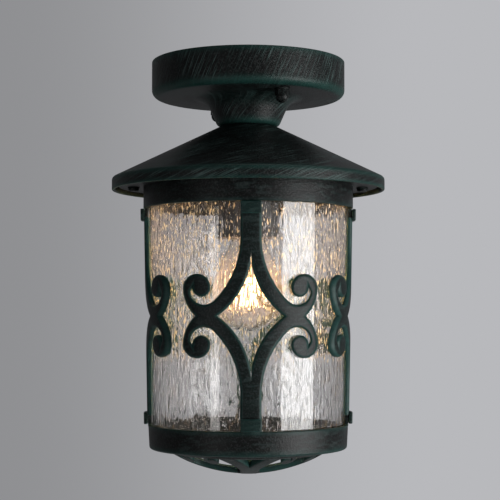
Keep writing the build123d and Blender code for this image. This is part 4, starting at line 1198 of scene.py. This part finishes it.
@dataclass
class SmallPieces:
    """Fasteners, wiring, lampholder and lamp, which keep their solids and get a finish."""

    finishes: dict[Finish, tuple[str, ...]] = field(default_factory=lambda: {
        PlainFinish("zinc_steel", (0.45, 0.46, 0.47), (0.30, 0.31, 0.32), 0.38, metallic=1.0): (
            "crossbar", "canopy_studs", "stud_nuts", "terminal_screws", "terminal_fixing_screw",
            "earth_screw", "nipple", "nipple_washers", "nipple_nuts", "holder_lock_nut", "grille_screws",
            "strap_screws_upper", "strap_screws_lower",
        ),
        PlainFinish("brass", (0.62, 0.42, 0.15), (0.42, 0.28, 0.10), 0.32, metallic=1.0): (
            "terminal_barrels", "earth_lug", "lampholder_shell", "lampholder_contact",
            "lampholder_terminals",
        ),
        PlainFinish("terminal_plastic", (0.66, 0.62, 0.52), (0.56, 0.52, 0.44), 0.5): (
            "terminal_block",
        ),
        PlainFinish("holder_plastic", (0.012, 0.011, 0.010), (0.025, 0.023, 0.021), 0.42): (
            "lampholder_cap", "lampholder_skirt",
        ),
        PlainFinish("porcelain", (0.75, 0.73, 0.68), (0.66, 0.64, 0.59), 0.25): ("lampholder_insert",),
        PlainFinish("lamp_cap_metal", (0.60, 0.58, 0.53), (0.45, 0.43, 0.40), 0.3, metallic=1.0): (
            "lamp_tip_contact", "lamp_cap", "lamp_leads",
        ),
        PlainFinish("lamp_insulator", (0.015, 0.015, 0.02), (0.03, 0.03, 0.035), 0.2): (
            "lamp_insulator",
        ),
        PlainFinish("soft_seal", (0.020, 0.019, 0.018), (0.035, 0.034, 0.032), 0.75): (
            "glass_seal_top", "glass_seal_bottom",
        ),
        PlainFinish("live_insulation", (0.12, 0.045, 0.018), (0.09, 0.035, 0.015), 0.45): ("live_wire",),
        PlainFinish("neutral_insulation", (0.02, 0.07, 0.34), (0.018, 0.055, 0.26), 0.45): (
            "neutral_wire",
        ),
        PlainFinish("earth_insulation", (0.10, 0.26, 0.03), (0.50, 0.42, 0.03), 0.45, grain=90.0): (
            "earth_wire",
        ),
        PlainFinish("hot_filament", (1.0, 0.64, 0.30), (1.0, 0.58, 0.24), 0.5, glow=16.0): (
            "lamp_filament",
        ),
        LampGlass(): ("lamp_envelope",),
        LampGlass("lit_stem_glass", glow=(1.0, 0.66, 0.32), strength=60.0, reach=0.022): ("lamp_stem",),
        VerdigrisPaint(
            "paint_fasteners", BrushStrokes(across=900.0, along=300.0, slant=0.0, lean=0.0, amount=0.6)
        ): (
            "canopy_washer_front", "canopy_washer_rear", "cap_nut_front", "cap_nut_rear",
            "flange_washer_left", "flange_washer_right", "flange_screw_left", "flange_screw_right",
        ),
    })

    def build(self) -> None:
        """Gives each node its finish."""
        for finish, nodes in self.finishes.items():
            material = finish.make()
            for node in nodes:
                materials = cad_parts[node].data.materials
                materials.clear()
                materials.append(material)
                LOG.info("%s: %s", node, finish.name)


@dataclass
class LampLight:
    """Warm light of the filament."""

    power: float = 1.25
    radius: float = 9.0 * MM
    colour: Colour = (1.0, 0.55, 0.22)

    def build(self) -> None:
        """Puts the light in the lamp."""
        light = bpy.data.lights.new("filament_light", "POINT")
        light.energy = self.power
        light.color = self.colour
        light.shadow_soft_size = self.radius
        lamp = placed("filament_light", light)
        low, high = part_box("lamp_filament")
        lamp.location = (low + high) / 2
        lamp.visible_camera = lamp.visible_transmission = lamp.visible_glossy = False
        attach(lamp, Body.LAMP.value)


# Studio


@dataclass
class Softbox:
    """A rectangular studio light that faces the lantern, and may be kept out of gloss and glass."""

    name: str
    place: Triple
    width: float
    height: float
    power: float
    mirrored: bool = True

    def build(self, aim: Vector) -> None:
        """Puts the light up, facing a point."""
        light = bpy.data.lights.new(self.name, "AREA")
        light.shape = "RECTANGLE"
        light.size, light.size_y = self.width, self.height
        light.energy = self.power
        box = placed(self.name, light)
        box.location = self.place
        box.rotation_mode = "QUATERNION"
        box.rotation_quaternion = (aim - Vector(self.place)).to_track_quat("-Z", "Y")
        box.visible_camera = False
        box.visible_glossy = box.visible_transmission = self.mirrored


@dataclass
class Studio:
    """Grey backdrop, pale floor, softboxes and the camera of the photograph."""

    backdrop_left: Colour = (0.275, 0.277, 0.288)
    backdrop_right: Colour = (0.480, 0.484, 0.504)
    gradient: float = 0.16
    ambient: float = 0.14
    gloss_share: float = 0.35
    floor_z: float = -1.3
    floor_radius: float = 3.0
    floor_colour: Colour = (0.62, 0.62, 0.63)
    floor_evenness: float = 0.7
    camera_distance: float = 1.0
    camera_azimuth: float = -1.5
    camera_height: float = -0.1860
    focal_pixels: float = 1362.0
    frame_pixels: float = 500.0
    axis_column: float = 248.2
    horizon_row: float = 315.0
    sensor: float = 36.0
    aim: Triple = (0.0, 0.0, -0.16)
    softboxes: tuple[Softbox, ...] = (
        Softbox("softbox_right", (1.36, -0.85, -0.42), 1.25, 0.95, 29.0),
        Softbox("softbox_left", (-1.10, -1.30, -0.45), 0.34, 0.8, 2.6),
        Softbox("softbox_top", (0.4, -0.3, 1.4), 1.4, 1.4, 4.0),
        Softbox("softbox_back", (-0.5, 1.5, 0.35), 1.0, 1.0, 16.0, mirrored=False),
    )

    def seen_directly(self, sheet: NodeSheet) -> Signal:
        """1 for rays that show the backdrop, from the camera and through glass, and less in gloss."""
        in_gloss = sheet.ray("Is Glossy Ray") * self.gloss_share
        return (sheet.ray("Is Camera Ray") + in_gloss + sheet.ray("Is Transmission Ray")).clamp()

    def world(self) -> None:
        """Makes the backdrop and its even light."""
        world = bpy.data.worlds.new("studio")
        bpy.context.scene.world = world
        sheet = NodeSheet(world)
        seen = self.seen_directly(sheet)
        strength = seen * (1.0 - self.ambient) + self.ambient
        direction = sheet.node("ShaderNodeTexCoord").outputs["Generated"]
        across = sheet.parts(direction)[0].between(-self.gradient, self.gradient)
        colour = sheet.mixed(across, self.backdrop_left, self.backdrop_right)
        shader = sheet.node("ShaderNodeBackground", {"Color": colour, "Strength": strength})
        sheet.node("ShaderNodeOutputWorld", {"Surface": shader.outputs[0]})

    def floor(self) -> None:
        """Makes the pale floor, which keeps a soft shadow."""
        mesh = bmesh.new()
        bmesh.ops.create_circle(
            mesh, cap_ends=True, segments=96, radius=self.floor_radius,
            matrix=Matrix.Translation((0, 0, self.floor_z)),
        )
        data = stored_mesh("floor", mesh)
        sheet = FinishSheet("pale_floor")
        plain = sheet.node("ShaderNodeBsdfDiffuse", {"Color": self.floor_colour})
        even = sheet.node("ShaderNodeEmission", {"Color": self.backdrop_right})
        seen = self.seen_directly(sheet) * self.floor_evenness
        data.materials.append(sheet.surface(sheet.blended(seen, plain, even)))
        placed("floor", data)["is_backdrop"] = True

    def camera(self) -> None:
        """Sets the camera up as the photograph was taken."""
        data = bpy.data.cameras.new("camera")
        data.sensor_width = self.sensor
        data.lens = self.sensor * self.focal_pixels / self.frame_pixels
        data.clip_start = 0.01
        camera = placed("camera", data)
        stand = radians(self.camera_azimuth)
        camera.location = self.camera_distance * Vector((sin(stand), -cos(stand), 0.0))
        camera.location.z = self.camera_height
        middle = self.frame_pixels / 2
        pan = -stand + atan2(middle - self.axis_column, self.focal_pixels)
        tilt = atan2(self.horizon_row - middle, self.focal_pixels)
        aim = Vector((sin(pan) * cos(tilt), cos(pan) * cos(tilt), sin(tilt)))
        camera.rotation_mode = "QUATERNION"
        camera.rotation_quaternion = aim.to_track_quat("-Z", "Y")
        bpy.context.scene.camera = camera

    def build(self) -> None:
        """Builds the studio."""
        self.world()
        self.floor()
        for softbox in self.softboxes:
            softbox.build(Vector(self.aim))
        self.camera()
        scene = bpy.context.scene
        scene.view_settings.view_transform = "Standard"
        scene.cycles.use_denoising = True
        scene.cycles.max_bounces = 16
        scene.cycles.transmission_bounces = 16
        scene.cycles.transparent_max_bounces = 16


def main() -> None:
    """Builds the lantern piece by piece."""
    logging.basicConfig(level=logging.INFO, format="%(message)s")
    assemblies = (Canopy, Roof, CageRings, Straps, Grille, RainTube, LampLight, Studio, SmallPieces)
    for assembly in assemblies:
        assembly().build()
    boxes = {"cad": CAD_BOX, "visual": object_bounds()}
    {name: [list(corner) for corner in box] for name, box in boxes.items()}


if __name__ == "__main__":
    main()
